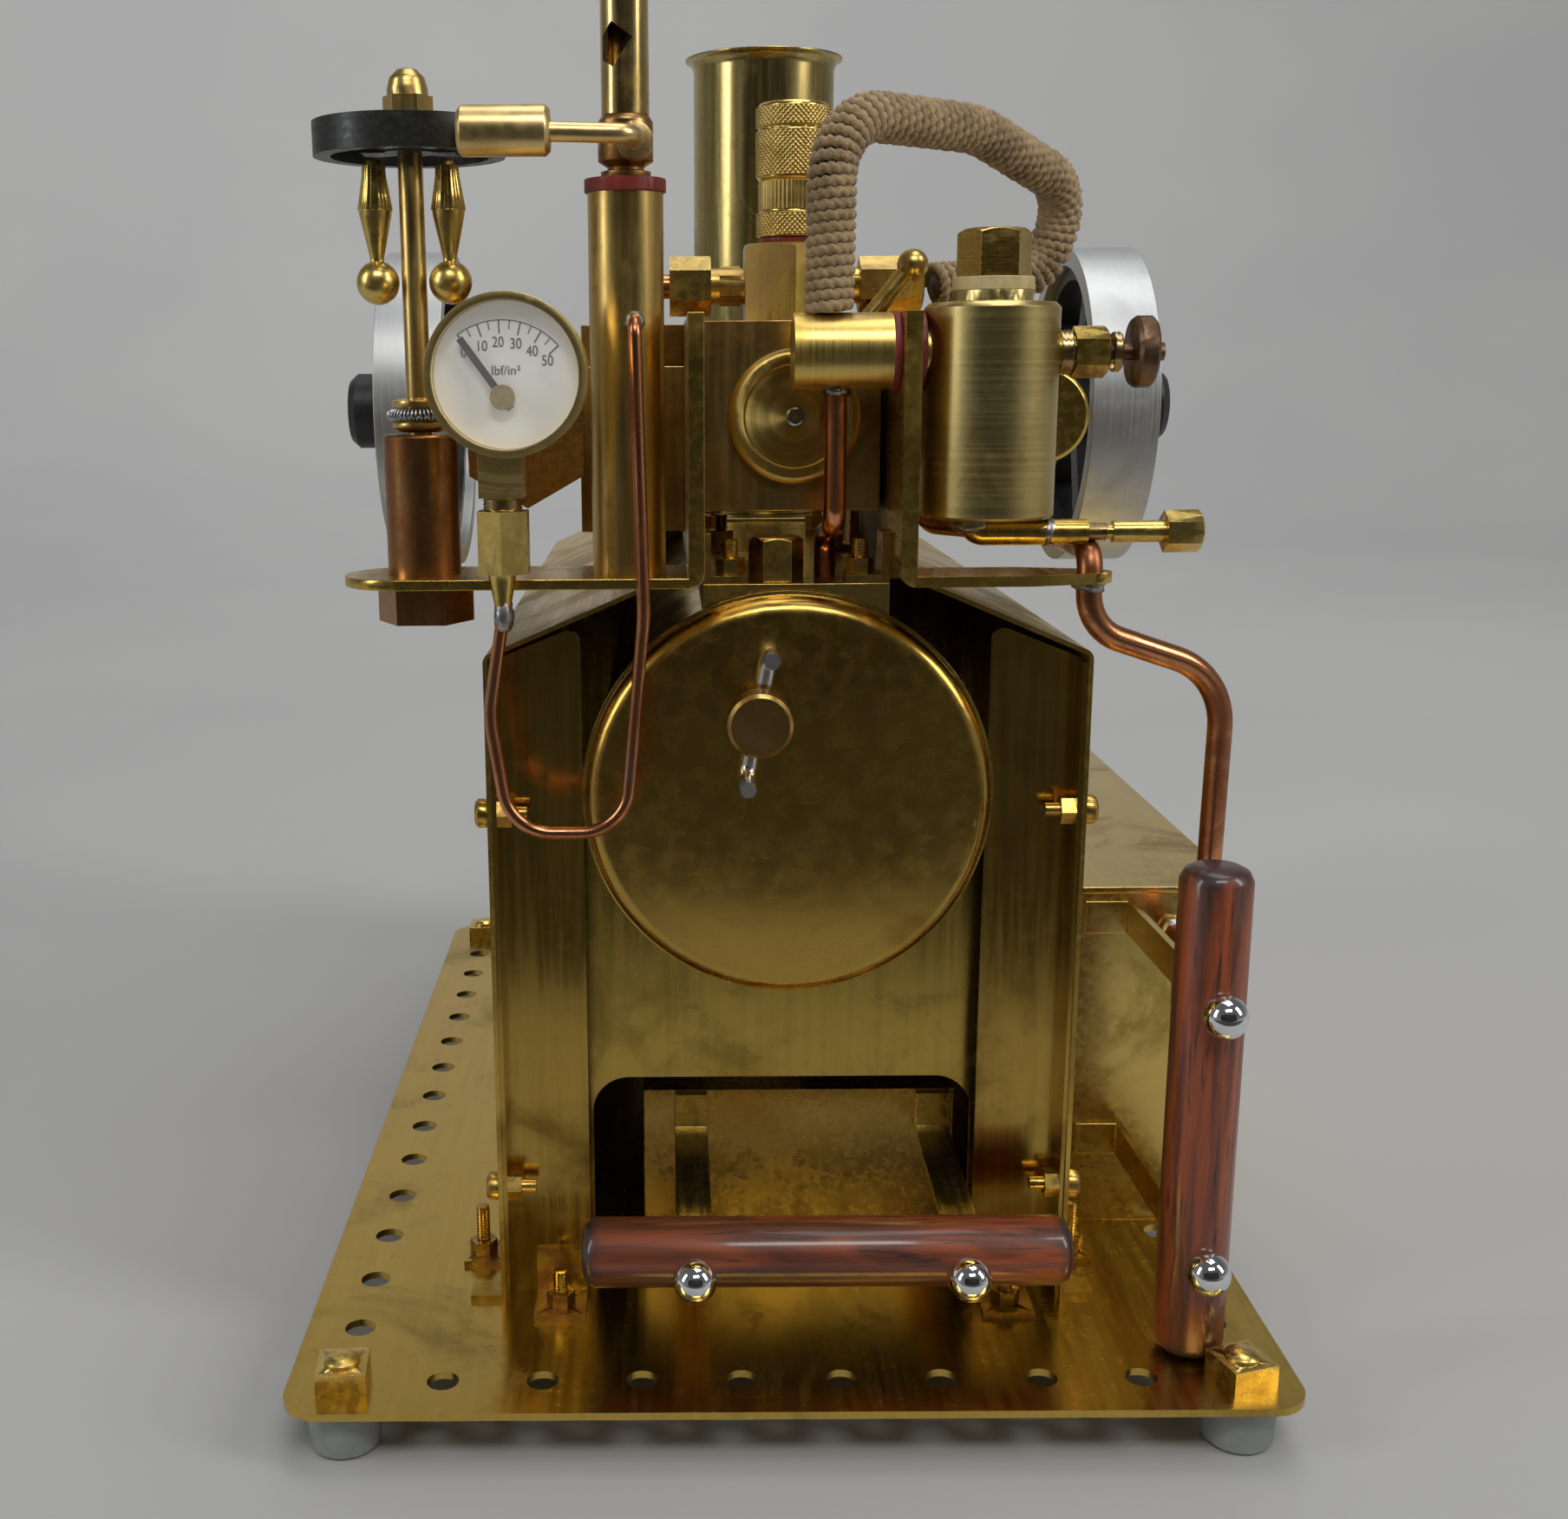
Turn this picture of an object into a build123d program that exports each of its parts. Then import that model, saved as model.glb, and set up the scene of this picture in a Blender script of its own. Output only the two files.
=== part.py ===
from build123d import *
import os
from math import atan2, cos, degrees, radians, sin, sqrt, tan

# Model steam engine: an overtype twin on a brass-cased boiler, in millimetres.
# X is to the right, Y runs from the boiler's front cap to its back end, +Z is up.
# Heights below are counted from the top face of the base plate; save() lifts every
# sub-part by DECK, so the written origin is at the plate's centre, under the feet.

# ---------------------------------------------------------------- driving dimensions
FOOT_HEIGHT = 7.6
SHEET = 0.6                      # casing sheet
PLATE_T = 1.0
DECK = FOOT_HEIGHT + PLATE_T
GAP = 0.05                       # running and screw clearance, on the radius

PITCH = 12.7                     # hole pitch of the base plate
HOLES_X, HOLES_Y = 10, 15
HOLE_R = 2.05
PLATE_X, PLATE_Y = 128.6, 192.1
CORNER_X, CORNER_Y = PITCH * (HOLES_X - 1) / 2, PITCH * (HOLES_Y - 1) / 2

CASE_X = 38.6                    # outer half width of the casing
CASE_Y0, CASE_Y1 = -71.0, 75.0
EAVE_Z = 90.4
ROOF_X = 17.6                    # inner edge of each roof slope
ROOF_SLOPE = 0.4261
SCREW_Y = (-68.9, 70.0)          # casing screw columns
SCREW_Z = (17.0, 69.5)           # casing screw rows
WING_X, WING_Y = 26.4, -66.0
PANEL_Y = -61.4

BOILER_X, BOILER_Z, BOILER_R = 0.3, 71.3, 25.4
BOILER_WALL = 0.9
CAP_Y, CAP_R = -71.0, 26.3
PLUG_X, PLUG_Z = -3.9, 82.9      # level plug axis

ENGINE_X = 1.3                   # centre of the two side plates
SIDE_IN, SIDE_OUT = 11.9, 13.9
SADDLE_Z = 98.8
SIDE_TOP = 131.8
CRANK_Y, CRANK_Z = 8.0, 119.1
SHAFT_R = 2.5
THROW = 7.0

WHEEL_R, WHEEL_W = 25.4, 10.3    # flywheels
WHEEL_X = 0.2                    # centre between the two flywheels
WHEEL_IN = 49.85                 # inner face of each rim from that centre
HUB_END = 67.5

CYL_X = 35.0                     # cylinder centres from CYL_MID
CYL_MID = 0.8
TRUNNION_Y = -32.0
CYL_HALF = 15.0
CYL_R, BORE_R, ROD_R = 6.4, 4.7, 1.5
PORT_HALF = 6.8                  # port face from the cylinder's axis
EYE_HALF = 1.7
PISTON_BACK = 38.0               # rod eye to the middle of the piston
WEB_IN, WEB_OUT = 2.7, 4.9       # crank web faces from the rod's plane
WEB_R, PIN_R = 10.0, 2.2
LEFT_TILT = degrees(atan2(THROW, CRANK_Y - TRUNNION_Y))
ROD_REST = {-1: sqrt((CRANK_Y - TRUNNION_Y) ** 2 + THROW ** 2), 1: CRANK_Y - TRUNNION_Y + THROW}

SHELF_Z0, SHELF_Z1 = 99.5, 100.8
SHELF_Y0, SHELF_Y1 = -77.0, -62.0
STEAM_Y = -70.0                  # regulator and lubricator axes
REG_Z = 127.6
LEVER_X, LEVER_Y, LEVER_Z = 8.2, -64.1, 129.3   # regulator lever pivot
EXHAUST_X, EXHAUST_Y = 37.3, -72.0              # where the exhaust passes the right shelf

GOV_X, GOV_Y = -45.6, -69.5      # governor axis
BELT_R = 0.85
GOV_PITCH, DRIVE_PITCH = 3.2, 5.1
BELT_Z = 120.4
DRIVE_X = -46.8
ARM_OFFSET = 4.4                 # governor arms from the governor's axis

COLUMN_X, COLUMN_Y, COLUMN_R = -19.9, -70.0, 4.55
GAUGE_X, GAUGE_Z, GAUGE_R = -33.6, 125.1, 9.35
GAUGE_Y0, GAUGE_Y1 = -84.5, -77.5
DIAL_Y = -82.6
NEEDLE_X, NEEDLE_Z = -34.0, 122.6
NEEDLE_LEAN = 35.7               # degrees to the left of upright, at nought
GAUGE_STEM_X, GAUGE_STEM_Y = -34.6, -80.2
WLEVER_X, WLEVER_Y, WLEVER_Z = -18.6, -82.0, 151.5   # whistle lever, at the valve

LUB_X, LUB_R = 24.5, 8.2         # displacement lubricator
LUB_Z0, LUB_Z1 = 107.4, 133.2
NEEDLE_VALVE_Z = 127.3
DRAIN_Z, DRAIN_Y = 105.6, -71.2

SV_X, SV_Y, SV_BASE_Z = 2.1, -42.0, 142.0   # safety valve axis and seat
CROSS_Z = 136.6                              # steam cross pipe

CHIMNEY_X, CHIMNEY_Y, CHIMNEY_R = 2.9, 46.0, 12.7
CHIMNEY_TOP = 180.0
FLANGE_Z = 99.3

TANK = (41.5, 66.8, -47.3, 45.0, 51.4)      # x0, x1, y0, y1, height
HANDLE_R = 4.5
BURNER_HANDLE = (-26.8, 36.7, -80.0, 13.0)  # x0, x1, y, z
TANK_HANDLE = (52.2, -82.1, 0.3, 65.6)      # x, y, z0, z1
NAIL_R = 2.8
NAIL_OUT = HANDLE_R + 0.9        # nail head centres from the handle's axis
NAILS_X = (-12.2, 23.0)          # along the burner's handle
NAILS_Z = (13.6, 48.0)           # along the tank's handle
BURNER_X0, BURNER_X1 = -19.2, 26.2
BURNER_Y0, BURNER_Y1 = -50.0, 40.0
BURNER_TOP = 22.6

# ---------------------------------------------------------------- pipe runs: corners, and the bend at each
LAG_R = 3.1                      # outside of the cord wound on the steam pipe
LAG_POINTS = [(4.7, -70.0, 132.4), (4.9, -69.6, 155.4), (25, -52.5, 155.4), (40.6, -38, 149.4), (37, -36.5, 137.5),
              (21.4, -42, CROSS_Z)]
LAG_BENDS = [8.0, 22.0, 7.0, 6.0]

SIPHON_R = 0.8
SIPHON = [(-18.8, -74.3, 131.2), (-18.8, -79.4, 131.2), (-18.0, -79.4, 97), (-20.6, -79.4, 69.6),
          (-34.8, -79.4, 69.6), (-37.0, -79.4, 84.5), (-34.9, -80.2, 97.2)]
SIPHON_BENDS = [1.8, 30, 6.0, 6.0, 12]

RISER_R = 1.4
RISER = [(5.6, -70, 123.2), (5.8, -69.4, 106.4), (5.6, -58.2, 104.6), (5.6, -58.2, SADDLE_Z)]
RISER_BENDS = [3.4, 3.2]

FEED_R = 1.6
FEED = [(-14.6, SV_Y, CROSS_Z), (-20.6, SV_Y, CROSS_Z), (-20.6, -35, 131), (-20.6, -35, 126)]
FEED_BENDS = [3.0, 3.0]

EXHAUST_R = 1.6
EXHAUST = [(22, TRUNNION_Y, 112), (22, TRUNNION_Y, 103.5), (EXHAUST_X, -52, 103.5), (EXHAUST_X, EXHAUST_Y, 103.5),
           (EXHAUST_X, EXHAUST_Y, 93.6), (56.4, -67, 86.8), (57.6, -61.5, 45.6), (57.6, -47.3, 45.6)]
EXHAUST_BENDS = [3.4, 8, 3.0, 6.5, 11, 6.5]

os.makedirs("parts", exist_ok=True)


# ---------------------------------------------------------------- small tools
TURN = {"X": Rot(0, 90, 0), "Y": Rot(-90, 0, 0), "Z": Rot(0, 0, 0)}


def save(node, *solids):
    """Write one sub-part, lifted so that its origin is under the feet."""
    parts = [Pos(0, 0, DECK) * solid for solid in solids]
    shape = parts[0] if len(parts) == 1 else Compound(children=parts)
    export_step(shape, f"parts/{node}.step")


def block(x0, x1, y0, y1, z0, z1):
    box = Box(x1 - x0, y1 - y0, z1 - z0)
    return Pos((x0 + x1) / 2, (y0 + y1) / 2, (z0 + z1) / 2) * box


def rod(radius, start, length, axis="Z"):
    """Round bar from start, along the axis for a positive length."""
    bar = Pos(0, 0, length / 2) * Cylinder(radius, abs(length))
    return Pos(*start) * TURN[axis] * bar


def ring(outer, inner, start, length, axis="Z"):
    bar = Pos(0, 0, length / 2) * (Cylinder(outer, abs(length)) - Cylinder(inner, abs(length) + 1))
    return Pos(*start) * TURN[axis] * bar


def hexagon(flats, start, length, axis="Z", spin=0, chamfered=0.0):
    """Hexagonal bar of the given width across flats, with its far end chamfered."""
    bar = extrude(RegularPolygon(flats / 2, 6, major_radius=False), length)
    if chamfered:
        corner = flats / sqrt(3)
        cut = [(0, 0), (corner + 1, 0), (corner + 1, length - chamfered - 0.6),
               (flats / 2 - 0.2, length), (0, length)]
        bar = bar & turned(cut)
    return Pos(*start) * TURN[axis] * Rot(0, 0, spin) * bar


def turned(profile, start=(0, 0, 0), axis="Z"):
    """Turned piece from (radius, height) points that close on the axis."""
    face = Plane.XZ * make_face(Polyline(*profile, close=True))
    return Pos(*start) * TURN[axis] * revolve(face, Axis.Z)


def pipe(points, radii, radius):
    """Bent tube stock: straight runs joined by tangent arcs."""
    path = FilletPolyline(*points, radius=radii)
    section = Plane(origin=path @ 0, z_dir=path % 0) * Circle(radius)
    return sweep(section, path=path)


def sheet_profile(points, y0, y1):
    """Bent sheet with its section in the XZ plane, run from y0 to y1."""
    face = Plane((0, y0, 0), x_dir=(1, 0, 0), z_dir=(0, -1, 0)) * make_face(Polyline(*points, close=True))
    return extrude(face, -(y1 - y0))


def side_profile(points, x0, x1):
    """Plate with its outline in the YZ plane, from x0 to x1."""
    face = Plane((x0, 0, 0), x_dir=(0, 1, 0), z_dir=(1, 0, 0)) * make_face(Polyline(*points, close=True))
    return extrude(face, x1 - x0)


def mirrored(solid):
    return mirror(solid, about=Plane.YZ)


def corners(offset_x=0.0, offset_y=0.0):
    return [(sx * (CORNER_X - offset_x), sy * (CORNER_Y - offset_y)) for sx in (-1, 1) for sy in (-1, 1)]


# ---------------------------------------------------------------- base
def base_plate():
    plate = block(-PLATE_X / 2, PLATE_X / 2, -PLATE_Y / 2, PLATE_Y / 2, -PLATE_T, 0)
    plate = fillet(plate.edges().filter_by(Axis.Z), 5.0)
    rows = [(-CORNER_X + i * PITCH, s * CORNER_Y) for i in range(HOLES_X) for s in (-1, 1)]
    columns = [(s * CORNER_X, -CORNER_Y + j * PITCH) for j in range(1, HOLES_Y - 1) for s in (-1, 1)]
    holes = [Pos(x, y, -PLATE_T / 2) * Cylinder(HOLE_R, PLATE_T + 1) for x, y in rows + columns]
    save("base_plate", plate - holes)


def rubber_feet():
    profile = [(1.5 + GAP, -FOOT_HEIGHT + 2), (1.5 + GAP, 0), (4.9, 0), (4.4, -FOOT_HEIGHT + 0.5),
               (3.9, -FOOT_HEIGHT), (0, -FOOT_HEIGHT), (0, -FOOT_HEIGHT + 2)]
    save("rubber_feet", *[turned(profile, (x, y, -PLATE_T)) for x, y in corners()])


def corner_fasteners():
    """Square nut block and round-headed screw at each corner of the plate."""
    solids = []
    head = [(0, 2.8), (2.3, 2.8), (2.2, 3.3), (1.5, 3.8), (0, 4.0)]
    for (x, y), spin in zip(corners(), (4, 0, 18, 0)):
        nut = Rot(0, 0, spin) * block(-3.2, 3.2, -3.2, 3.2, 0, 2.8)
        solids.append(Pos(x, y, 0) * (nut - rod(1.5, (0, 0, -1), 5)))
        solids.append(Pos(x, y, 0) * (turned(head) + rod(1.5, (0, 0, -6.4), 9.2)))
    save("corner_fasteners", *solids)


# ---------------------------------------------------------------- boiler casing
def roof_z(x):
    return EAVE_Z + (CASE_X - abs(x)) * ROOF_SLOPE


def casing_side():
    """Right-hand side sheet with its roof slope and two locating tabs."""
    inner = CASE_X - SHEET
    drop = SHEET * sqrt(1 + ROOF_SLOPE ** 2)
    outline = [(CASE_X, 0), (CASE_X, EAVE_Z), (ROOF_X, roof_z(ROOF_X)), (ROOF_X, roof_z(ROOF_X) - drop),
               (inner, roof_z(inner) - drop), (inner, 0)]
    sheet = sheet_profile(outline, CASE_Y0, CASE_Y1)
    eave = [e for e in sheet.edges().filter_by(Axis.Y) if abs(e.center().Z - EAVE_Z) < 1]
    sheet = fillet([eave[0] if eave[0].center().X > eave[-1].center().X else eave[-1]], 1.4)
    for y in SCREW_Y:
        for z in SCREW_Z:
            sheet -= rod(0.9, (CASE_X - 2, y, z), 4, "X")
    for y in (-67.5, 66.0):
        sheet += block(CASE_X, CASE_X + 4.4, y - 2, y + 2, 0, 0.8)
    return sheet


def casing():
    right = casing_side()
    save("casing_right", right)
    save("casing_left", mirrored(right))


def front_wings():
    """Flanges each side of the boiler end, with a strip bent forward along the side."""
    x0, x1 = WING_X, CASE_X - SHEET
    outline = [(x0, 0), (x1, 0), (x1, roof_z(x1) - 1.6), (x0, roof_z(x0) - 1.9)]
    wing = sheet_profile(outline, WING_Y - SHEET, WING_Y)
    wing = fillet(wing.edges().filter_by(Axis.Y).sort_by(Axis.Z)[-1], 1.6)
    strip = block(x1 - SHEET, x1, CASE_Y0 + 0.4, WING_Y - SHEET, 0, roof_z(x1) - 1.6)
    for z in SCREW_Z:
        strip -= rod(0.9, (x1 - 2, SCREW_Y[0], z), 4, "X")
    wing += strip
    save("front_wings", mirrored(wing), wing)


def end_panel(y):
    """Sheet across the casing with a cradle for the boiler; the rear one also closes the roof's end."""
    x1 = CASE_X - SHEET
    panel = block(-x1, x1, y, y + SHEET, 0, BOILER_Z)
    if y > 0:
        eave, ridge = roof_z(x1) - 1.0, FLANGE_Z - 1.2
        outline = [(-x1, BOILER_Z), (x1, BOILER_Z), (x1, eave), (ROOF_X, ridge), (-ROOF_X, ridge), (-x1, eave)]
        panel += sheet_profile(outline, y, y + SHEET)
        for side in (-1, 1):
            flange = block(*sorted((side * x1, side * (x1 - SHEET))), y, CASE_Y1 - 1, 0, BOILER_Z)
            for z in SCREW_Z:
                flange -= rod(0.9, (side * x1 - 2, SCREW_Y[1], z), 4, "X")
            panel += flange
    return panel - rod(BOILER_R + GAP, (BOILER_X, y - 1, BOILER_Z), 3, "Y")


def panels():
    front = end_panel(PANEL_Y)
    opening = block(-26.0, 26.6, PANEL_Y - 1, PANEL_Y + 2, -1, 29.5)
    opening = fillet([e for e in opening.edges().filter_by(Axis.Y) if e.center().Z > 0], 5.0)
    rear = end_panel(CASE_Y1 - 9)
    vents = [rod(2.0, (x, CASE_Y1 - 10, 20 + row * 10), 3, "Y") for row in range(2) for x in (-18, -9, 0, 9, 18)]
    save("end_panels", front - opening, rear - vents)


def casing_screw(y, z):
    head = [(0, 0), (1.9, 0), (1.9, 1.3), (1.5, 1.7), (0, 1.7)]
    screw = turned(head, (CASE_X, y, z), "X")
    if y < 0:
        screw += rod(0.85, (CASE_X, y, z), -5.0, "X")
        nut = hexagon(3.4, (CASE_X - 2 * SHEET, y, z), -1.9, "X", 30) - rod(0.85, (CASE_X - 6, y, z), 6, "X")
        return [screw, nut]
    return [screw + rod(0.85, (CASE_X, y, z), -4.0, "X")]


def foot_bracket(x, y, face_y):
    """Small angle, its stud and its nut, holding a sheet down to the base plate."""
    angle = block(x - 3.5, x + 3.5, y - 3.4, face_y, 0, 0.8) + block(x - 3.5, x + 3.5, face_y - 0.8, face_y, 0, 6.5)
    stud = rod(0.9, (x, y, 0), 5.6)
    nut = hexagon(3.4, (x, y, 0.8), 1.8) - rod(0.9, (x, y, 0), 4)
    return [angle - rod(0.9, (x, y, -1), 3), stud, nut]


def side_bracket(x, y):
    angle = block(CASE_X, CASE_X + 6.4, y - 3, y + 3, 0, 0.8) + block(CASE_X, CASE_X + 0.8, y - 3, y + 3, 0, 6.5)
    centre = CASE_X + 3.8
    stud = rod(0.9, (centre, y, 0), 8.0)
    nut = hexagon(3.4, (centre, y, 0.8), 2.0) - rod(0.9, (centre, y, 0), 4)
    solids = [angle - rod(0.9, (centre, y, -1), 3), stud, nut]
    return solids if x > 0 else [mirrored(s) for s in solids]


def casing_fasteners():
    solids = []
    for y in SCREW_Y:
        for z in SCREW_Z:
            pair = casing_screw(y, z)
            solids += pair + [mirrored(s) for s in pair]
    for x in (-30.4, 30.4):
        solids += foot_bracket(x, -71.4, WING_Y - SHEET)
    for x, y in ((-1, -57.0), (1, -57.0), (-1, 55.0), (1, 55.0)):
        solids += side_bracket(x, y)
    save("casing_fasteners", *solids)


# ---------------------------------------------------------------- boiler
def boiler():
    front, back = -69.9, 72.0
    shell = ring(BOILER_R, BOILER_R - BOILER_WALL, (BOILER_X, front, BOILER_Z), back - front, "Y")
    save("boiler_shell", shell)
    outline = Polyline((0, 1.1), (0, -1.3)) + ThreePointArc((0, -1.3), (13, -0.95), (23.8, 0))
    outline += ThreePointArc((23.8, 0), (25.6, 0.7), (CAP_R, 2.4))
    outline += Polyline((CAP_R, 2.4), (CAP_R, 3.2), (CAP_R + 0.5, 3.3), (CAP_R + 0.5, 3.8), (BOILER_R, 3.8),
                        (BOILER_R, 1.1), (0, 1.1))
    cap = revolve(Plane.XZ * make_face(outline), Axis.Z)
    cap = Pos(BOILER_X, CAP_Y, BOILER_Z) * TURN["Y"] * cap
    cap -= rod(2.6 + GAP, (PLUG_X, CAP_Y - 4, PLUG_Z), 8, "Y")
    rear = [(0, back), (BOILER_R, back), (BOILER_R, back - 4), (CAP_R, back - 4), (CAP_R, back + 0.4),
            (CAP_R - 0.8, back + 1.2), (0, back + 1.2)]
    save("boiler_end_caps", cap, turned(rear, (BOILER_X, 0, BOILER_Z), "Y"))


def level_plug():
    """Water-level plug with a cranked steel bar through its neck."""
    body = [(0, -69.0), (2.6, -69.0), (2.6, -75.2), (3.6, -75.2), (4.05, -75.6), (4.05, -79.4), (3.6, -79.9),
            (0, -79.9)]
    lean = 1.45
    top, bottom = (PLUG_X + lean, PLUG_Z + 8.0), (PLUG_X - lean, PLUG_Z - 8.0)
    bar = pipe([(top[0], -79.6, top[1]), (top[0], -73.6, top[1]), (bottom[0], -73.6, bottom[1]),
                (bottom[0], -79.6, bottom[1])], 2.0, 1.0)
    save("level_plug", turned(body, (PLUG_X, 0, PLUG_Z), "Y") - bar, bar)


def saddle():
    half = SIDE_IN
    seat = block(ENGINE_X - half, ENGINE_X + half, -66.6, 24, 86, SADDLE_Z)
    seat -= rod(BOILER_R, (BOILER_X, -80, BOILER_Z), 120, "Y")
    bush = hexagon(6.2, (-1.0, -61.5, SADDLE_Z), 5.6, "Z", 0, 0.5)
    save("saddle", seat, bush)


# ---------------------------------------------------------------- engine frame
def side_plates():
    solids = []
    outline = [(-61.6, SADDLE_Z), (14, SADDLE_Z), (20, 106), (20, 127), (15.5, SIDE_TOP), (-61.6, SIDE_TOP)]
    for side in (-1, 1):
        x0, x1 = sorted((ENGINE_X + side * SIDE_IN, ENGINE_X + side * SIDE_OUT))
        plate = side_profile(outline, x0, x1)
        plate -= rod(SHAFT_R + GAP, (x0 - 1, CRANK_Y, CRANK_Z), 4, "X")
        for y in (-54, -24, 2):
            plate -= rod(0.95, (x0 - 1, y, SADDLE_Z + 3.6), 4, "X")
        solids.append(plate)
    save("side_plates", *solids)


def shelf_left():
    """Bent bracket: its upright carries the column side, its shelf the governor and whistle."""
    x_in, x_out = ENGINE_X - SIDE_IN, ENGINE_X - SIDE_OUT
    end = -55.6
    half = (SHELF_Y1 - SHELF_Y0) / 2
    mid = (SHELF_Y0 + SHELF_Y1) / 2
    shelf = block(end + half, x_in, SHELF_Y0, SHELF_Y1, SHELF_Z0, SHELF_Z1)
    shelf += rod(half, (end + half, mid, SHELF_Z0), SHELF_Z1 - SHELF_Z0)
    upright = block(x_out, x_in, SHELF_Y0, SHELF_Y1, SHELF_Z0, SIDE_TOP + 0.4)
    bracket = shelf + upright
    bend = [e for e in bracket.edges().filter_by(Axis.Y) if abs(e.center().X - x_in) < 0.1 and e.center().Z < 101]
    bracket = fillet(bend, 1.9)
    bracket -= rod(3.0, (GOV_X, GOV_Y, 90), 20)
    save("shelf_left", bracket)


def shelf_right():
    x_in, x_out = ENGINE_X + SIDE_IN, ENGINE_X + SIDE_OUT
    outline = [(x_in, SHELF_Y0), (29, SHELF_Y0), (EXHAUST_X, EXHAUST_Y - 2.7), (EXHAUST_X, EXHAUST_Y + 2.7),
               (29, SHELF_Y0 + 10), (x_in, SHELF_Y0 + 10)]
    shelf = Pos(0, 0, SHELF_Z0) * extrude(make_face(Polyline(*outline, close=True)), SHELF_Z1 - SHELF_Z0)
    shelf += rod(2.7, (EXHAUST_X, EXHAUST_Y, SHELF_Z0), SHELF_Z1 - SHELF_Z0)
    upright = block(x_in, x_out, SHELF_Y0, SHELF_Y1, SHELF_Z0, SIDE_TOP + 0.4)
    bracket = shelf + upright
    bend = [e for e in bracket.edges().filter_by(Axis.Y) if abs(e.center().X - x_in) < 0.1 and e.center().Z < 101]
    bracket = fillet(bend, 1.9)
    bracket -= rod(3.0, (x_in - 1, STEAM_Y, REG_Z), 5, "X")
    bracket -= rod(EXHAUST_R + GAP, (EXHAUST_X, EXHAUST_Y, 90), 20)
    save("shelf_right", bracket)


def engine_fasteners():
    """Angles, studs and nuts that hold the uprights and side plates to the saddle."""
    solids = []
    for side in (-1, 1):
        face = ENGINE_X + side * SIDE_IN
        for y in (-63.4, -24, 2):
            foot = sorted((face, face - side * 5.6))
            leg = sorted((face, face - side * 1.0))
            angle = block(*foot, y - 3, y + 3, SADDLE_Z, SADDLE_Z + 1.0)
            angle += block(*leg, y - 3, y + 3, SADDLE_Z, SADDLE_Z + 6.4)
            stud_x = face - side * 3.6
            solids.append(angle - rod(0.9, (stud_x, y, SADDLE_Z - 1), 4))
            solids.append(rod(0.9, (stud_x, y, SADDLE_Z), 5.4))
            solids.append(hexagon(3.2, (stud_x, y, SADDLE_Z + 1.0), 2.0) - rod(0.9, (stud_x, y, SADDLE_Z), 6))
    save("engine_fasteners", *solids)


# ---------------------------------------------------------------- engine
def steam_blocks():
    """Steam chest between the side plates and a port block outside each plate."""
    chest = block(ENGINE_X - SIDE_IN, ENGINE_X + SIDE_IN - 0.7, -60, -21, 107.5, 131.6)
    solids = [chest]
    for side in (-1, 1):
        x0, x1 = sorted((ENGINE_X + side * SIDE_OUT, CYL_MID + side * (CYL_X - PORT_HALF - 0.1)))
        port = block(x0, x1, TRUNNION_Y - 7, TRUNNION_Y + 7, 112 if side > 0 else 103, 126)
        if side < 0:
            port += block(x0, x1, TRUNNION_Y - 0.5, TRUNNION_Y + 7, 126, SIDE_TOP)
        solids.append(port - rod(1.5 + GAP, (x0 - 1, TRUNNION_Y, CRANK_Z), x1 - x0 + 2, "X"))
    save("steam_blocks", *solids)
    disc = [(0, -60), (8.5, -60), (8.5, -61.0), (7.6, -61.5), (6.6, -61.5), (6.4, -61.3), (0, -61.3)]
    save("valve_disc", turned(disc, (ENGINE_X, 0, 119.6), "Y"))


def cylinder(side):
    """Oscillating cylinder along Y about its trunnion, before it is tilted and placed."""
    outer = ring(CYL_R, BORE_R, (0, -CYL_HALF + 2, 0), 2 * CYL_HALF - 4, "Y")
    outer += ring(CYL_R + 0.4, ROD_R + GAP, (0, CYL_HALF - 2, 0), 2, "Y")
    if side < 0:
        outer += hexagon(15.6, (0, -CYL_HALF + 2, 0), -5.0, "Y", 30, 1.0)
    else:
        outer += turned([(0, -CYL_HALF + 2), (CYL_R, -CYL_HALF + 2), (CYL_R, -CYL_HALF - 0.6),
                         (CYL_R - 0.5, -CYL_HALF - 1), (0, -CYL_HALF - 1)], axis="Y")
    face_x = sorted((-side * PORT_HALF, -side * (BORE_R + 0.3)))
    flat = block(*face_x, -6.5, 6.5, -5, 5)
    outer += flat - rod(BORE_R, (0, -10, 0), 20, "Y")
    outer += rod(1.5, (-side * (BORE_R + 0.3), 0, 0), -side * 10, "X")
    return outer


def piston(side):
    """Piston, rod and big end, counted from the trunnion; the eye carries its own pin core."""
    reach = ROD_REST[side]
    body = rod(BORE_R - 0.06, (0, reach - PISTON_BACK - 2, 0), 4, "Y")
    body += rod(ROD_R, (0, reach - PISTON_BACK, 0), PISTON_BACK - 2, "Y")
    body += rod(3.4, (-EYE_HALF, reach, 0), 2 * EYE_HALF, "X")
    return body


def placed(solid, side):
    tilt = LEFT_TILT if side < 0 else 0.0
    return Pos(CYL_MID + side * CYL_X, TRUNNION_Y, CRANK_Z) * Rot(tilt, 0, 0) * solid


def cylinders():
    for side, word in ((-1, "left"), (1, "right")):
        save(f"cylinder_{word}", placed(cylinder(side), side))
        save(f"piston_{word}", placed(piston(side), side))


def crank_pin(side):
    """Pin centre: the left one stands up, the right one points back."""
    return (CRANK_Y, CRANK_Z + THROW) if side < 0 else (CRANK_Y + THROW, CRANK_Z)


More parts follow.
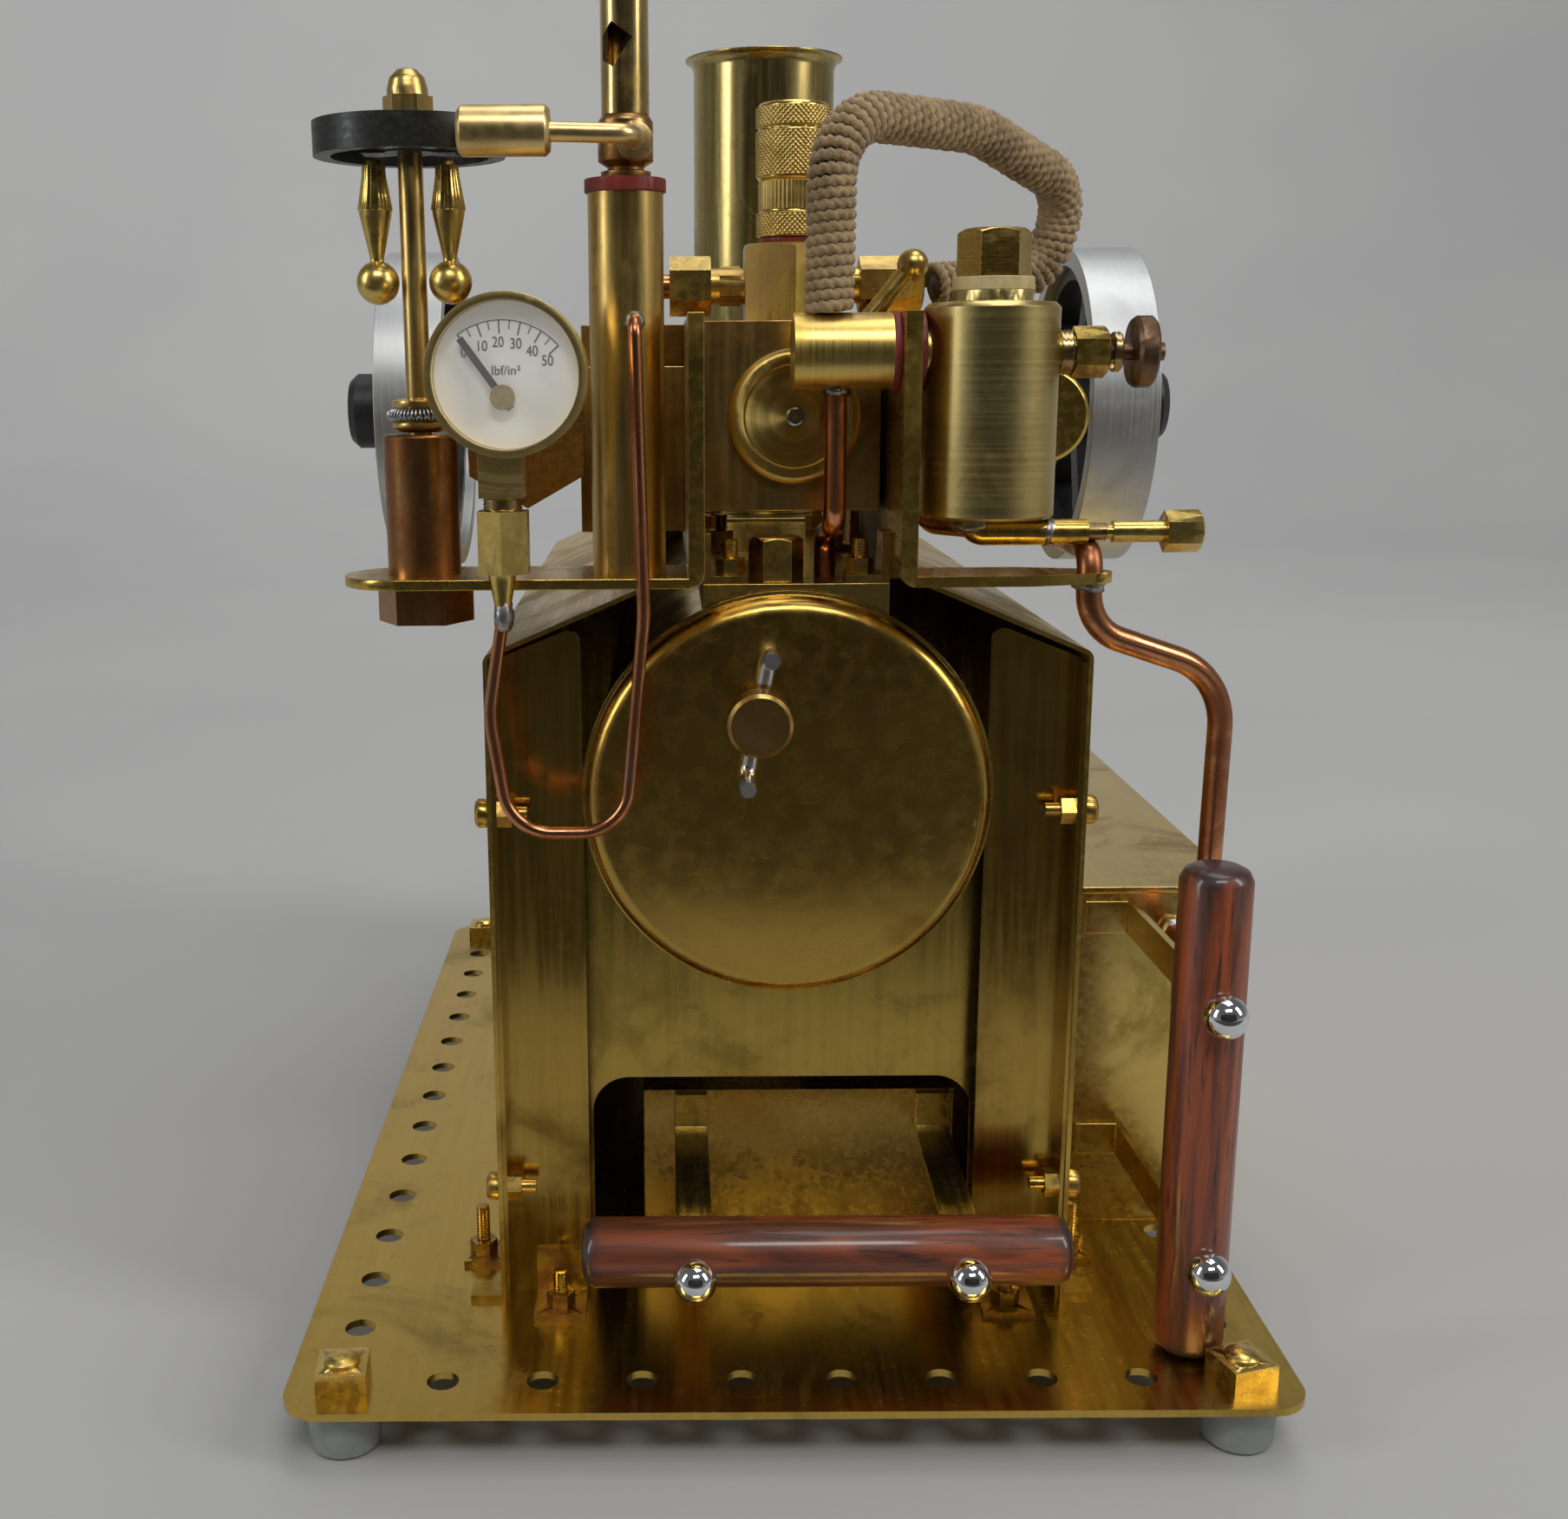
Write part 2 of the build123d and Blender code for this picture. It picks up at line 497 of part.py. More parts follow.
def crankshaft():
    left, right = (CYL_MID + side * CYL_X for side in (-1, 1))
    shaft = rod(SHAFT_R, (left + WEB_OUT, CRANK_Y, CRANK_Z), right - left - 2 * WEB_OUT, "X")
    for side, x in ((-1, left), (1, right)):
        y, z = crank_pin(side)
        for face in (-1, 1):
            shaft += rod(WEB_R, (x + face * WEB_IN, CRANK_Y, CRANK_Z), face * (WEB_OUT - WEB_IN), "X")
            shaft += rod(PIN_R, (x + face * WEB_IN, y, z), -face * (WEB_IN - EYE_HALF - 0.3), "X")
        end = WHEEL_X + side * (WHEEL_IN + 8)
        shaft += rod(SHAFT_R, (x + side * WEB_OUT, CRANK_Y, CRANK_Z), end - x - side * WEB_OUT, "X")
    groove = BELT_R + 0.15
    root = DRIVE_PITCH - BELT_R - 0.06
    flange = DRIVE_PITCH + 0.4
    pulley = [(SHAFT_R, -1.5), (flange, -1.5), (flange, -groove), (root, -groove), (root, groove), (flange, groove),
              (flange, 1.5), (SHAFT_R, 1.5)]
    save("crankshaft", shaft, turned(pulley, (DRIVE_X, CRANK_Y, CRANK_Z), "X"))


def flywheels():
    rims, spiders = [], []
    rim_in = WHEEL_R - 2.9
    for side in (-1, 1):
        x0 = WHEEL_X + side * WHEEL_IN
        rims.append(ring(WHEEL_R, rim_in, (x0, CRANK_Y, CRANK_Z), side * WHEEL_W, "X"))
        spider = ring(rim_in, rim_in - 2.2, (x0 + side * 1.6, CRANK_Y, CRANK_Z), side * 7.0, "X")
        hub_len = HUB_END - abs(x0 + side * 0.8)
        hub = [(0, 8.0 - 0.8), (SHAFT_R, 8.0 - 0.8), (SHAFT_R, 0), (6.1, 0), (6.1, hub_len - 1.2), (5.0, hub_len),
               (0, hub_len)]
        if side > 0:
            spider += turned(hub, (x0 + side * 0.8, CRANK_Y, CRANK_Z), "X")
        else:
            spider += mirrored(turned(hub, (-x0 - side * 0.8, CRANK_Y, CRANK_Z), "X"))
        for k in range(5):
            spoke = block(-2.5, 2.5, -2.1, 2.1, 5.5, rim_in - 1.5)
            middle = x0 + side * 5.1
            spider += Pos(middle, CRANK_Y, CRANK_Z) * Rot(18 + 72 * k, 0, 0) * spoke
        spiders.append(spider)
    save("flywheel_rims", *rims)
    save("flywheel_spiders", *spiders)


# ---------------------------------------------------------------- governor
def governor():
    post = [(ROD_R + GAP, 104), (ROD_R + GAP, 118.0), (4.3, 118.0), (4.55, 117.7), (4.55, SHELF_Z1), (3.0, SHELF_Z1),
            (3.0, 95.2), (0, 95.2), (0, 104)]
    nut = hexagon(10.4, (GOV_X, GOV_Y, SHELF_Z0), -4.6, "Z", 0) - rod(3.0, (GOV_X, GOV_Y, 90), 12)
    save("governor_post", turned(post, (GOV_X, GOV_Y, 0)), nut)
    root = GOV_PITCH - BELT_R - 0.06
    half = BELT_R + 0.12
    spindle = [(0, 104.3), (ROD_R, 104.3), (ROD_R, 118.3), (2.4, 118.3), (3.3, 118.9), (3.3, BELT_Z - half),
               (root, BELT_Z - half), (root, BELT_Z + half), (3.3, BELT_Z + half), (3.3, 122.1), (1.5, 122.4),
               (1.5, 154.6), (0, 154.6)]
    acorn = hexagon(5.2, (GOV_X, GOV_Y, 154.4), 3.0, "Z", 0)
    acorn += turned([(0, 157.4), (2.45, 157.4), (2.45, 158.2), (2.1, 159.5), (1.2, 160.4), (0, 160.7)],
                    (GOV_X, GOV_Y, 0))
    save("governor_spindle", turned(spindle, (GOV_X, GOV_Y, 0)), acorn - rod(1.5, (GOV_X, GOV_Y, 150), 4.6))
    wheel = ring(11.4, 9.4, (0, 0, 150.5), 3.9) + ring(3.2, 1.5, (0, 0, 151), 3.4)
    for k in range(4):
        spoke = block(3.0, 9.8, -1.3, 1.3, 151.2, 153.6)
        wheel += Rot(0, 0, 45 + 90 * k) * spoke
    for side in (-1, 1):
        wheel += block(*sorted((side * 2.9, side * 5.6)), -1.6, 1.6, 150.9, 152.4)
    save("governor_wheel", Pos(GOV_X, GOV_Y, 0) * wheel)
    arm = [(0, 150.3), (0.9, 150.3), (1.3, 149.6), (1.35, 148.4), (2.0, 144.6), (1.9, 143.8), (0.85, 139.0),
           (0, 139.0)]
    for side, word in ((-1, "left"), (1, "right")):
        x = GOV_X + side * ARM_OFFSET
        bob = Pos(x, GOV_Y, 136.1) * Sphere(2.6) + rod(0.85, (x, GOV_Y, 137), 3)
        save(f"governor_arm_{word}", turned(arm, (x, GOV_Y, 0)) + bob)


def drive_belt():
    """Endless coil-spring belt with a quarter turn between its two pulleys."""
    front = ThreePointArc((GOV_X + GOV_PITCH, GOV_Y, BELT_Z), (GOV_X, GOV_Y - GOV_PITCH, BELT_Z),
                          (GOV_X - GOV_PITCH, GOV_Y, BELT_Z))
    back = ThreePointArc((DRIVE_X, CRANK_Y, CRANK_Z + DRIVE_PITCH), (DRIVE_X, CRANK_Y + DRIVE_PITCH, CRANK_Z),
                         (DRIVE_X, CRANK_Y, CRANK_Z - DRIVE_PITCH))
    over, under = Line(front @ 0, back @ 0), Line(front @ 1, back @ 1)
    belt = sweep(Plane(origin=front @ 0, z_dir=front % 0) * Circle(BELT_R), path=front)
    for run in (back, over, under):
        belt += sweep(Plane(origin=run @ 0, z_dir=run % 0) * Circle(BELT_R), path=run)
    for run in (over, under):
        belt += [Pos(*(run @ end)) * Sphere(BELT_R) for end in (0, 1)]
    save("drive_belt", belt)


# ---------------------------------------------------------------- steam fittings
def regulator():
    x0, x1 = 0.3, ENGINE_X + SIDE_IN - 0.9
    body = rod(4.6, (x0, STEAM_Y, REG_Z), x1 - x0, "X") + rod(3.0, (x1, STEAM_Y, REG_Z), 4.6, "X")
    body -= rod(1.0 + GAP, (LEVER_X, STEAM_Y, LEVER_Z), 10, "Y")
    save("regulator_body", body)
    lean = radians(40)
    tip = (LEVER_X + 11.4 * sin(lean), LEVER_Y, LEVER_Z + 11.4 * cos(lean))
    axis = Vector(tip[0] - LEVER_X, 0, tip[2] - LEVER_Z).normalized()
    arm = extrude(Plane(origin=(LEVER_X, LEVER_Y, LEVER_Z), z_dir=axis) * Circle(1.15), 11)
    lever = rod(2.3, (LEVER_X, -65.2, LEVER_Z), 2.3, "Y") + arm + Pos(*tip) * Sphere(1.95)
    lever += rod(1.0, (LEVER_X, -69.0, LEVER_Z), 5, "Y")
    save("regulator_lever", lever)


def washers():
    """Red fibre washers, and the pale seal under the lubricator cap."""
    x = ENGINE_X + SIDE_IN
    inner = ring(4.75, 3.0, (x - 0.9, STEAM_Y, REG_Z), 0.9, "X")
    outer = ring(4.75, 3.0, (ENGINE_X + SIDE_OUT, STEAM_Y, REG_Z), 1.0, "X")
    column = ring(4.9, 2.0, (COLUMN_X, COLUMN_Y, 146.2), 1.6)
    valve = ring(4.4, 2.0, (SV_X, SV_Y, SV_BASE_Z), 0.9)
    lubricator_seal = ring(4.95, 2.5 + GAP, (LUB_X, STEAM_Y, LUB_Z1 + 1.4), 1.6)
    save("washers", inner, outer, column, valve, lubricator_seal)


def steam_tee():
    """Hexagonal safety-valve base with a cross pipe over the steam chest."""
    base = hexagon(13.0, (SV_X, SV_Y, 131.6), SV_BASE_Z - 131.6, "Z", 30, 0.4)
    base += rod(2.4, (SV_X - 6, SV_Y, CROSS_Z), -9.6, "X") + rod(2.4, (SV_X + 6, SV_Y, CROSS_Z), 5.5, "X")
    base += hexagon(4.6, (-5.0, SV_Y, CROSS_Z), -2.8, "X", 0)
    save("steam_tee", base)


def union_nuts():
    left = hexagon(6.9, (-9.0, SV_Y, CROSS_Z), -5.6, "X", 0, 0.5) - rod(2.4, (-13.5, SV_Y, CROSS_Z), 8, "X")
    right = hexagon(6.7, (11.2, SV_Y, CROSS_Z), 8.6, "X", 0, 0.5) - rod(2.4, (9, SV_Y, CROSS_Z), 4.6, "X")
    stem = (GAUGE_STEM_X, GAUGE_STEM_Y)
    gauge = hexagon(5.9, (*stem, 109.4), -7.4, "Z", 30) - rod(1.9, (*stem, 107), 4)
    tail = turned([(0, 102), (1.75, 102), (0.9, 97.6), (0, 97.6)], (GAUGE_STEM_X - 0.3, GAUGE_STEM_Y, 0))
    save("union_nuts", left, right, gauge + tail)


def lagged_pipe():
    end = LAG_POINTS[-1]
    tube = pipe(LAG_POINTS, LAG_BENDS, LAG_R)
    tube -= rod(4.6, (-5, STEAM_Y, REG_Z), 30, "X")
    tube -= block(end[0] - 9, end[0] - 1.6, end[1] - 5, end[1] + 5, end[2] - 5, end[2] + 5)
    save("lagged_pipe", tube)


def safety_valve():
    z0 = SV_BASE_Z + 0.9
    body = [(1.4, z0), (4.7, z0), (4.7, 146.0), (4.45, 146.2), (4.45, 150.2), (4.8, 150.5), (4.8, 156.6),
            (4.6, 156.8), (4.8, 157.0), (4.8, 159.6), (4.4, 160.1), (2.4, 160.1), (2.4, 158.6), (1.4, 158.6)]
    save("safety_valve_body", turned(body, (SV_X, SV_Y, 0)))
    stem = [(0, z0 + 0.3), (1.3, z0 + 0.3), (1.3, 158.8), (1.9, 158.9), (1.9, 159.7), (0, 159.7)]
    save("safety_valve_stem", turned(stem, (SV_X, SV_Y, 0)))


def lubricator():
    """Displacement lubricator: body, screwed cap, needle valve and drain cock."""
    body = [(2.5 + GAP, 120), (2.5 + GAP, 134.6), (4.9, 134.6), (4.9, LUB_Z1 + 0.2), (LUB_R - 0.6, LUB_Z1),
            (LUB_R, LUB_Z1 - 0.6), (LUB_R, LUB_Z0 + 0.4), (LUB_R - 0.4, LUB_Z0), (0, LUB_Z0), (0, 120)]
    vessel = turned(body, (LUB_X, STEAM_Y, 0))
    vessel += rod(2.8, (ENGINE_X + SIDE_OUT + 1.0, STEAM_Y, REG_Z), 3, "X")
    vessel -= rod(3.0, (10, STEAM_Y, REG_Z), 7.2, "X")
    save("lubricator_body", vessel)
    cap = hexagon(7.8, (LUB_X, STEAM_Y, 136.3), 5.5, "Z", 0, 0.6) + rod(2.5, (LUB_X, STEAM_Y, 123), 13.4)
    save("lubricator_cap", cap)
    edge = LUB_X + LUB_R - 0.3
    gland = turned([(0, 0), (2.2, 0), (2.2, 2.6), (2.6, 2.6), (2.6, 6.0), (1.0 + GAP, 6.0), (1.0 + GAP, 1), (0, 1)],
                   (edge, STEAM_Y, NEEDLE_VALVE_Z), "X")
    gland += hexagon(5.4, (34.4, STEAM_Y, NEEDLE_VALVE_Z), 4.2, "X", 0, 0.4)
    gland -= rod(1.0 + GAP, (33, STEAM_Y, NEEDLE_VALVE_Z), 9, "X")
    gland -= rod(LUB_R, (LUB_X, STEAM_Y, 110), 22)
    elbow = pipe([(22.4, DRAIN_Y, LUB_Z0), (22.4, DRAIN_Y, DRAIN_Z), (36.8, DRAIN_Y, DRAIN_Z)], 1.7, 1.6)
    elbow -= rod(0.9 + GAP, (31, DRAIN_Y, DRAIN_Z), 8, "X")
    save("lubricator_fittings", gland, elbow)
    wheel = rod(1.0, (34.5, STEAM_Y, NEEDLE_VALVE_Z), 8.5, "X")
    disc = [(0, 41.6), (3.9, 41.6), (4.3, 42.1), (4.3, 43.8), (3.9, 44.2), (1.1, 44.2), (1.1, 45.5), (0, 45.5)]
    wheel += turned(disc, (0, STEAM_Y, NEEDLE_VALVE_Z), "X")
    save("needle_valve_wheel", wheel)
    knob = rod(0.9, (32, DRAIN_Y, DRAIN_Z), 9, "X") + rod(1.35, (40.0, DRAIN_Y, DRAIN_Z), 6.6, "X")
    knob += hexagon(4.6, (46.4, DRAIN_Y, DRAIN_Z), 4.5, "X", 0, 0.4)
    save("drain_valve_knob", knob)


def whistle():
    column = [(0, SHELF_Z1), (COLUMN_R, SHELF_Z1), (COLUMN_R, 146.2), (0, 146.2)]
    save("whistle_column", turned(column, (COLUMN_X, COLUMN_Y, 0)))
    valve = [(0, 147.8), (3.0, 147.8), (3.0, 148.6), (2.2, 148.8), (2.2, 149.1), (3.3, 149.8), (3.3, 154.2),
             (2.8, 155.0), (0, 155.0)]
    body = turned(valve, (COLUMN_X + 0.1, COLUMN_Y, 0))
    body -= rod(1.1 + GAP, (WLEVER_X, COLUMN_Y - 5, WLEVER_Z), 5, "Y")
    save("whistle_valve", body)
    tube = ring(2.85, 2.3, (COLUMN_X + 0.1, COLUMN_Y, 155.0), 27.0)
    tube += rod(2.85, (COLUMN_X + 0.1, COLUMN_Y, 181.0), 1.4)
    tube += rod(2.4, (COLUMN_X + 0.1, COLUMN_Y, 155.0), 4.6)
    mouth = Pos(COLUMN_X - 1.3, COLUMN_Y - 2.8, 162.6) * Rot(0, 35, 0) * Box(3.0, 3.0, 4.0)
    save("whistle_tube", tube - mouth)
    bends = [(WLEVER_X, COLUMN_Y - 1.5, WLEVER_Z), (WLEVER_X, WLEVER_Y, WLEVER_Z), (-29, WLEVER_Y, WLEVER_Z + 0.3)]
    reach = pipe(bends, 2.6, 1.1)
    boss = rod(2.1, (WLEVER_X, COLUMN_Y - 3.7, WLEVER_Z), -3.0, "Y")
    barrel = [(0, 0), (2.3, 0), (2.8, 0.5), (2.8, 9.9), (2.3, 10.4), (0, 10.4)]
    grip = turned(barrel, (-38.4, WLEVER_Y, WLEVER_Z + 0.4), "X")
    save("whistle_lever", reach + boss + grip)


def pressure_gauge():
    case = ring(GAUGE_R, GAUGE_R - 0.9, (GAUGE_X, GAUGE_Y0, GAUGE_Z), GAUGE_Y1 - GAUGE_Y0, "Y")
    case += rod(GAUGE_R - 0.4, (GAUGE_X, GAUGE_Y1 - 1.2, GAUGE_Z), 1.2, "Y")
    case += block(GAUGE_STEM_X - 2.6, GAUGE_STEM_X + 2.6, GAUGE_STEM_Y - 2.6, GAUGE_STEM_Y + 2.6, 111, GAUGE_Z - 8.9)
    case += rod(1.9, (GAUGE_STEM_X, GAUGE_STEM_Y, 108), 3.2)
    save("gauge_case", case)
    dial = rod(GAUGE_R - 0.95, (GAUGE_X, DIAL_Y, GAUGE_Z), 0.6, "Y")
    save("gauge_dial", dial - rod(0.6, (NEEDLE_X, -84, NEEDLE_Z), 3, "Y"))
    blade = block(-0.42, 0.42, -0.15, 0.15, -1.6, 8.2)
    pointer = Rot(0, -NEEDLE_LEAN, 0) * (blade + rod(1.45, (0, -0.45, 0), 0.9, "Y"))
    pointer += rod(0.5, (0, 0, 0), 1.6, "Y")
    save("gauge_needle", Pos(NEEDLE_X, -83.4, NEEDLE_Z) * pointer)
    save("gauge_glass", rod(GAUGE_R - 0.95, (GAUGE_X, -84.4, GAUGE_Z), 0.35, "Y"))


def copper_pipes():
    siphon = pipe(SIPHON, SIPHON_BENDS, SIPHON_R) - rod(COLUMN_R, (COLUMN_X, COLUMN_Y, 100), 40)
    riser = pipe(RISER, RISER_BENDS, RISER_R) - rod(4.6, (-5, STEAM_Y, REG_Z), 30, "X")
    feed = pipe(FEED, FEED_BENDS, FEED_R)
    exhaust = pipe(EXHAUST, EXHAUST_BENDS, EXHAUST_R)
    save("copper_pipes", siphon, riser, feed, exhaust)


# ---------------------------------------------------------------- chimney
def chimney():
    """Flared chimney on a flat flange that closes the roof behind the engine."""
    bore, lip = CHIMNEY_R - 0.6, CHIMNEY_R + 1.5
    flare = [(bore, FLANGE_Z), (CHIMNEY_R, FLANGE_Z), (CHIMNEY_R, CHIMNEY_TOP - 2.2),
             (CHIMNEY_R + 0.5, CHIMNEY_TOP - 0.8), (lip, CHIMNEY_TOP - 0.4), (lip, CHIMNEY_TOP),
             (CHIMNEY_R + 0.3, CHIMNEY_TOP - 0.2), (bore, CHIMNEY_TOP - 2.2)]
    stack = turned(flare, (CHIMNEY_X, CHIMNEY_Y, 0))
    flange = block(-ROOF_X, ROOF_X, 26, CASE_Y1, 98.6, FLANGE_Z)
    save("chimney", stack, flange - rod(bore, (CHIMNEY_X, CHIMNEY_Y, 95), 10))


# ---------------------------------------------------------------- burner and tank
def handle(length):
    """Turned wooden handle along Z from the origin, with rounded ends."""
    r = HANDLE_R
    return turned([(0, 0), (r - 1.6, 0), (r - 0.6, 0.5), (r, 1.7), (r, length - 1.7), (r - 0.6, length - 0.5),
                   (r - 1.6, length), (0, length)])


def burner():
    tray = block(BURNER_X0, BURNER_X1, BURNER_Y0, BURNER_Y1, 0.6, BURNER_TOP)
    tray -= block(BURNER_X0 + 0.8, BURNER_X1 - 0.8, BURNER_Y0 + 0.8, BURNER_Y1 - 0.8, 1.4, BURNER_TOP - 0.8)
    slots = [block(-8, 15, y - 2.2, y + 2.2, BURNER_TOP - 2, BURNER_TOP + 1) for y in (-30, -10, 10, 28)]
    tray -= slots
    x0, x1, y, z = BURNER_HANDLE
    strap_y = y + HANDLE_R
    straps = []
    for x in NAILS_X:
        outline = [(BURNER_Y0, BURNER_TOP - 0.4), (BURNER_Y0 - 0.9, BURNER_TOP - 0.4), (BURNER_Y0 - 0.9, z + 4.1),
                   (strap_y, z + 2.4), (strap_y, z - 3.0), (strap_y + 0.8, z - 3.0), (strap_y + 0.8, z + 1.5),
                   (BURNER_Y0, z + 3.2)]
        straps.append(side_profile(outline, x - 2.4, x + 2.4))
    nails = []
    for x in NAILS_X:
        lean = radians(14)
        head = Vector(x, y - NAIL_OUT * cos(lean), z - NAIL_OUT * sin(lean))
        nails.append(Pos(head) * Sphere(NAIL_R))
    grip = Pos(x0, y, z) * TURN["X"] * handle(x1 - x0) - nails
    save("burner_tray", tray, *straps)
    save("burner_handle", grip)
    save("burner_nails", *nails)


def tank():
    x0, x1, y0, y1, top = TANK
    shell = block(x0, x1, y0, y1, 0, top) - block(x0 + 0.8, x1 - 0.8, y0 + 0.8, y1 - 0.8, 0.8, top + 1)
    end_x, _, end_z = EXHAUST[-1]
    shell -= rod(EXHAUST_R, (end_x, y0 - 1, end_z), 3, "Y")
    lid = block(x0 - 0.4, x1 + 0.4, y0 - 0.4, y1 + 0.4, top, top + 1.0)
    x, y, z0, z1 = TANK_HANDLE
    strap_y = y + HANDLE_R
    straps = []
    for z in NAILS_Z:
        points = [(x - 7.4, y0), (x - 7.4, y0 - 0.9), (x - 1.4, y0 - 0.9), (x - 0.6, strap_y + 0.8),
                  (x - 3.2, strap_y + 0.8), (x - 3.2, strap_y), (x + 0.3, strap_y), (x - 0.4, y0)]
        strap = Pos(0, 0, z - 2.4) * extrude(make_face(Polyline(*points, close=True)), 4.8)
        straps.append(strap)
    nails = [Pos(x + 0.4, y - NAIL_OUT, z) * Sphere(NAIL_R) for z in NAILS_Z]
    grip = Pos(x, y, z0) * handle(z1 - z0) - nails
    save("tank", shell, lid, *straps)
    save("tank_handle", grip)
    save("tank_nails", *nails)


base_plate()
rubber_feet()
corner_fasteners()
casing()
front_wings()
panels()
casing_fasteners()
boiler()
level_plug()
saddle()
side_plates()
shelf_left()
shelf_right()
engine_fasteners()
steam_blocks()
cylinders()
crankshaft()
flywheels()
governor()
drive_belt()
regulator()
washers()
steam_tee()
union_nuts()
lagged_pipe()
safety_valve()
lubricator()
whistle()
pressure_gauge()
copper_pipes()
chimney()
burner()
tank()
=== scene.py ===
import math

import bpy
import numpy as np
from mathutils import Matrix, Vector


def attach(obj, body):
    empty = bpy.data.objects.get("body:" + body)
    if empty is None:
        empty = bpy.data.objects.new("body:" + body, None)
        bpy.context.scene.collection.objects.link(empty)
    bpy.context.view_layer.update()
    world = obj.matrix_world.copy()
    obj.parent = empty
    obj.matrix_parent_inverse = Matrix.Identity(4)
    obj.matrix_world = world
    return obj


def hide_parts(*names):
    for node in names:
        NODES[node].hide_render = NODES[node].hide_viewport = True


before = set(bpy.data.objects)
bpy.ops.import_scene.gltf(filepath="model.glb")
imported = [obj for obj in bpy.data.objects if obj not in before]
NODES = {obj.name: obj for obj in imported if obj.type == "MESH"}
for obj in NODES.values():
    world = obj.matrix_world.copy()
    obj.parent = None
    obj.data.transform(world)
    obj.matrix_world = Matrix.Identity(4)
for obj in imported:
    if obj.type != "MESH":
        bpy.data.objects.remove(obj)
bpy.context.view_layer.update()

MM = 0.001
DECK = 8.6                       # the base plate's top face above the floor, in mm
CREASE = math.radians(38)        # edges sharper than this are bevelled or kept crisp
BEVEL = 0.14                     # usual width of a broken edge, in mm
UPRIGHT = (900, 900, 45)         # noise scales of grain that runs up and down
LENGTHWAYS = (900, 45, 900)      # noise scales of grain that runs from front to back
RING_SCALE = 2600.0              # noise scale of lathe rings, across and along the axis
HAIRLINE = 0.00002               # bump depth of fine drawn or brushed lines, in metres
METAL_RELIEF = 0.000006          # bump depth of grain on sheet and turned metal, in metres
WELD_GAP = 0.000002              # CAD corners closer than this are one, in metres

# Axes of the turned pieces, in mm, with heights counted from the base plate's top face.
COLUMN = (-19.8, -70.0)          # x, y of the upright ones
LUBRICATOR = (24.5, -70.0)
GOVERNOR = (-45.6, -69.5)
SAFETY_VALVE = (2.1, -42.0)
CRANK = (8.0, 119.1)             # y, z
BOILER = (0.3, 71.3)             # x, z
DISC = (1.3, 119.6)              # x, z
PIVOT = (-34.0, 122.6)           # gauge needle, x, z
DIAL_Y = -82.6                   # the dial's front face
DISC_FRONT_Y = -61.75            # the valve disc's front face, under its screw


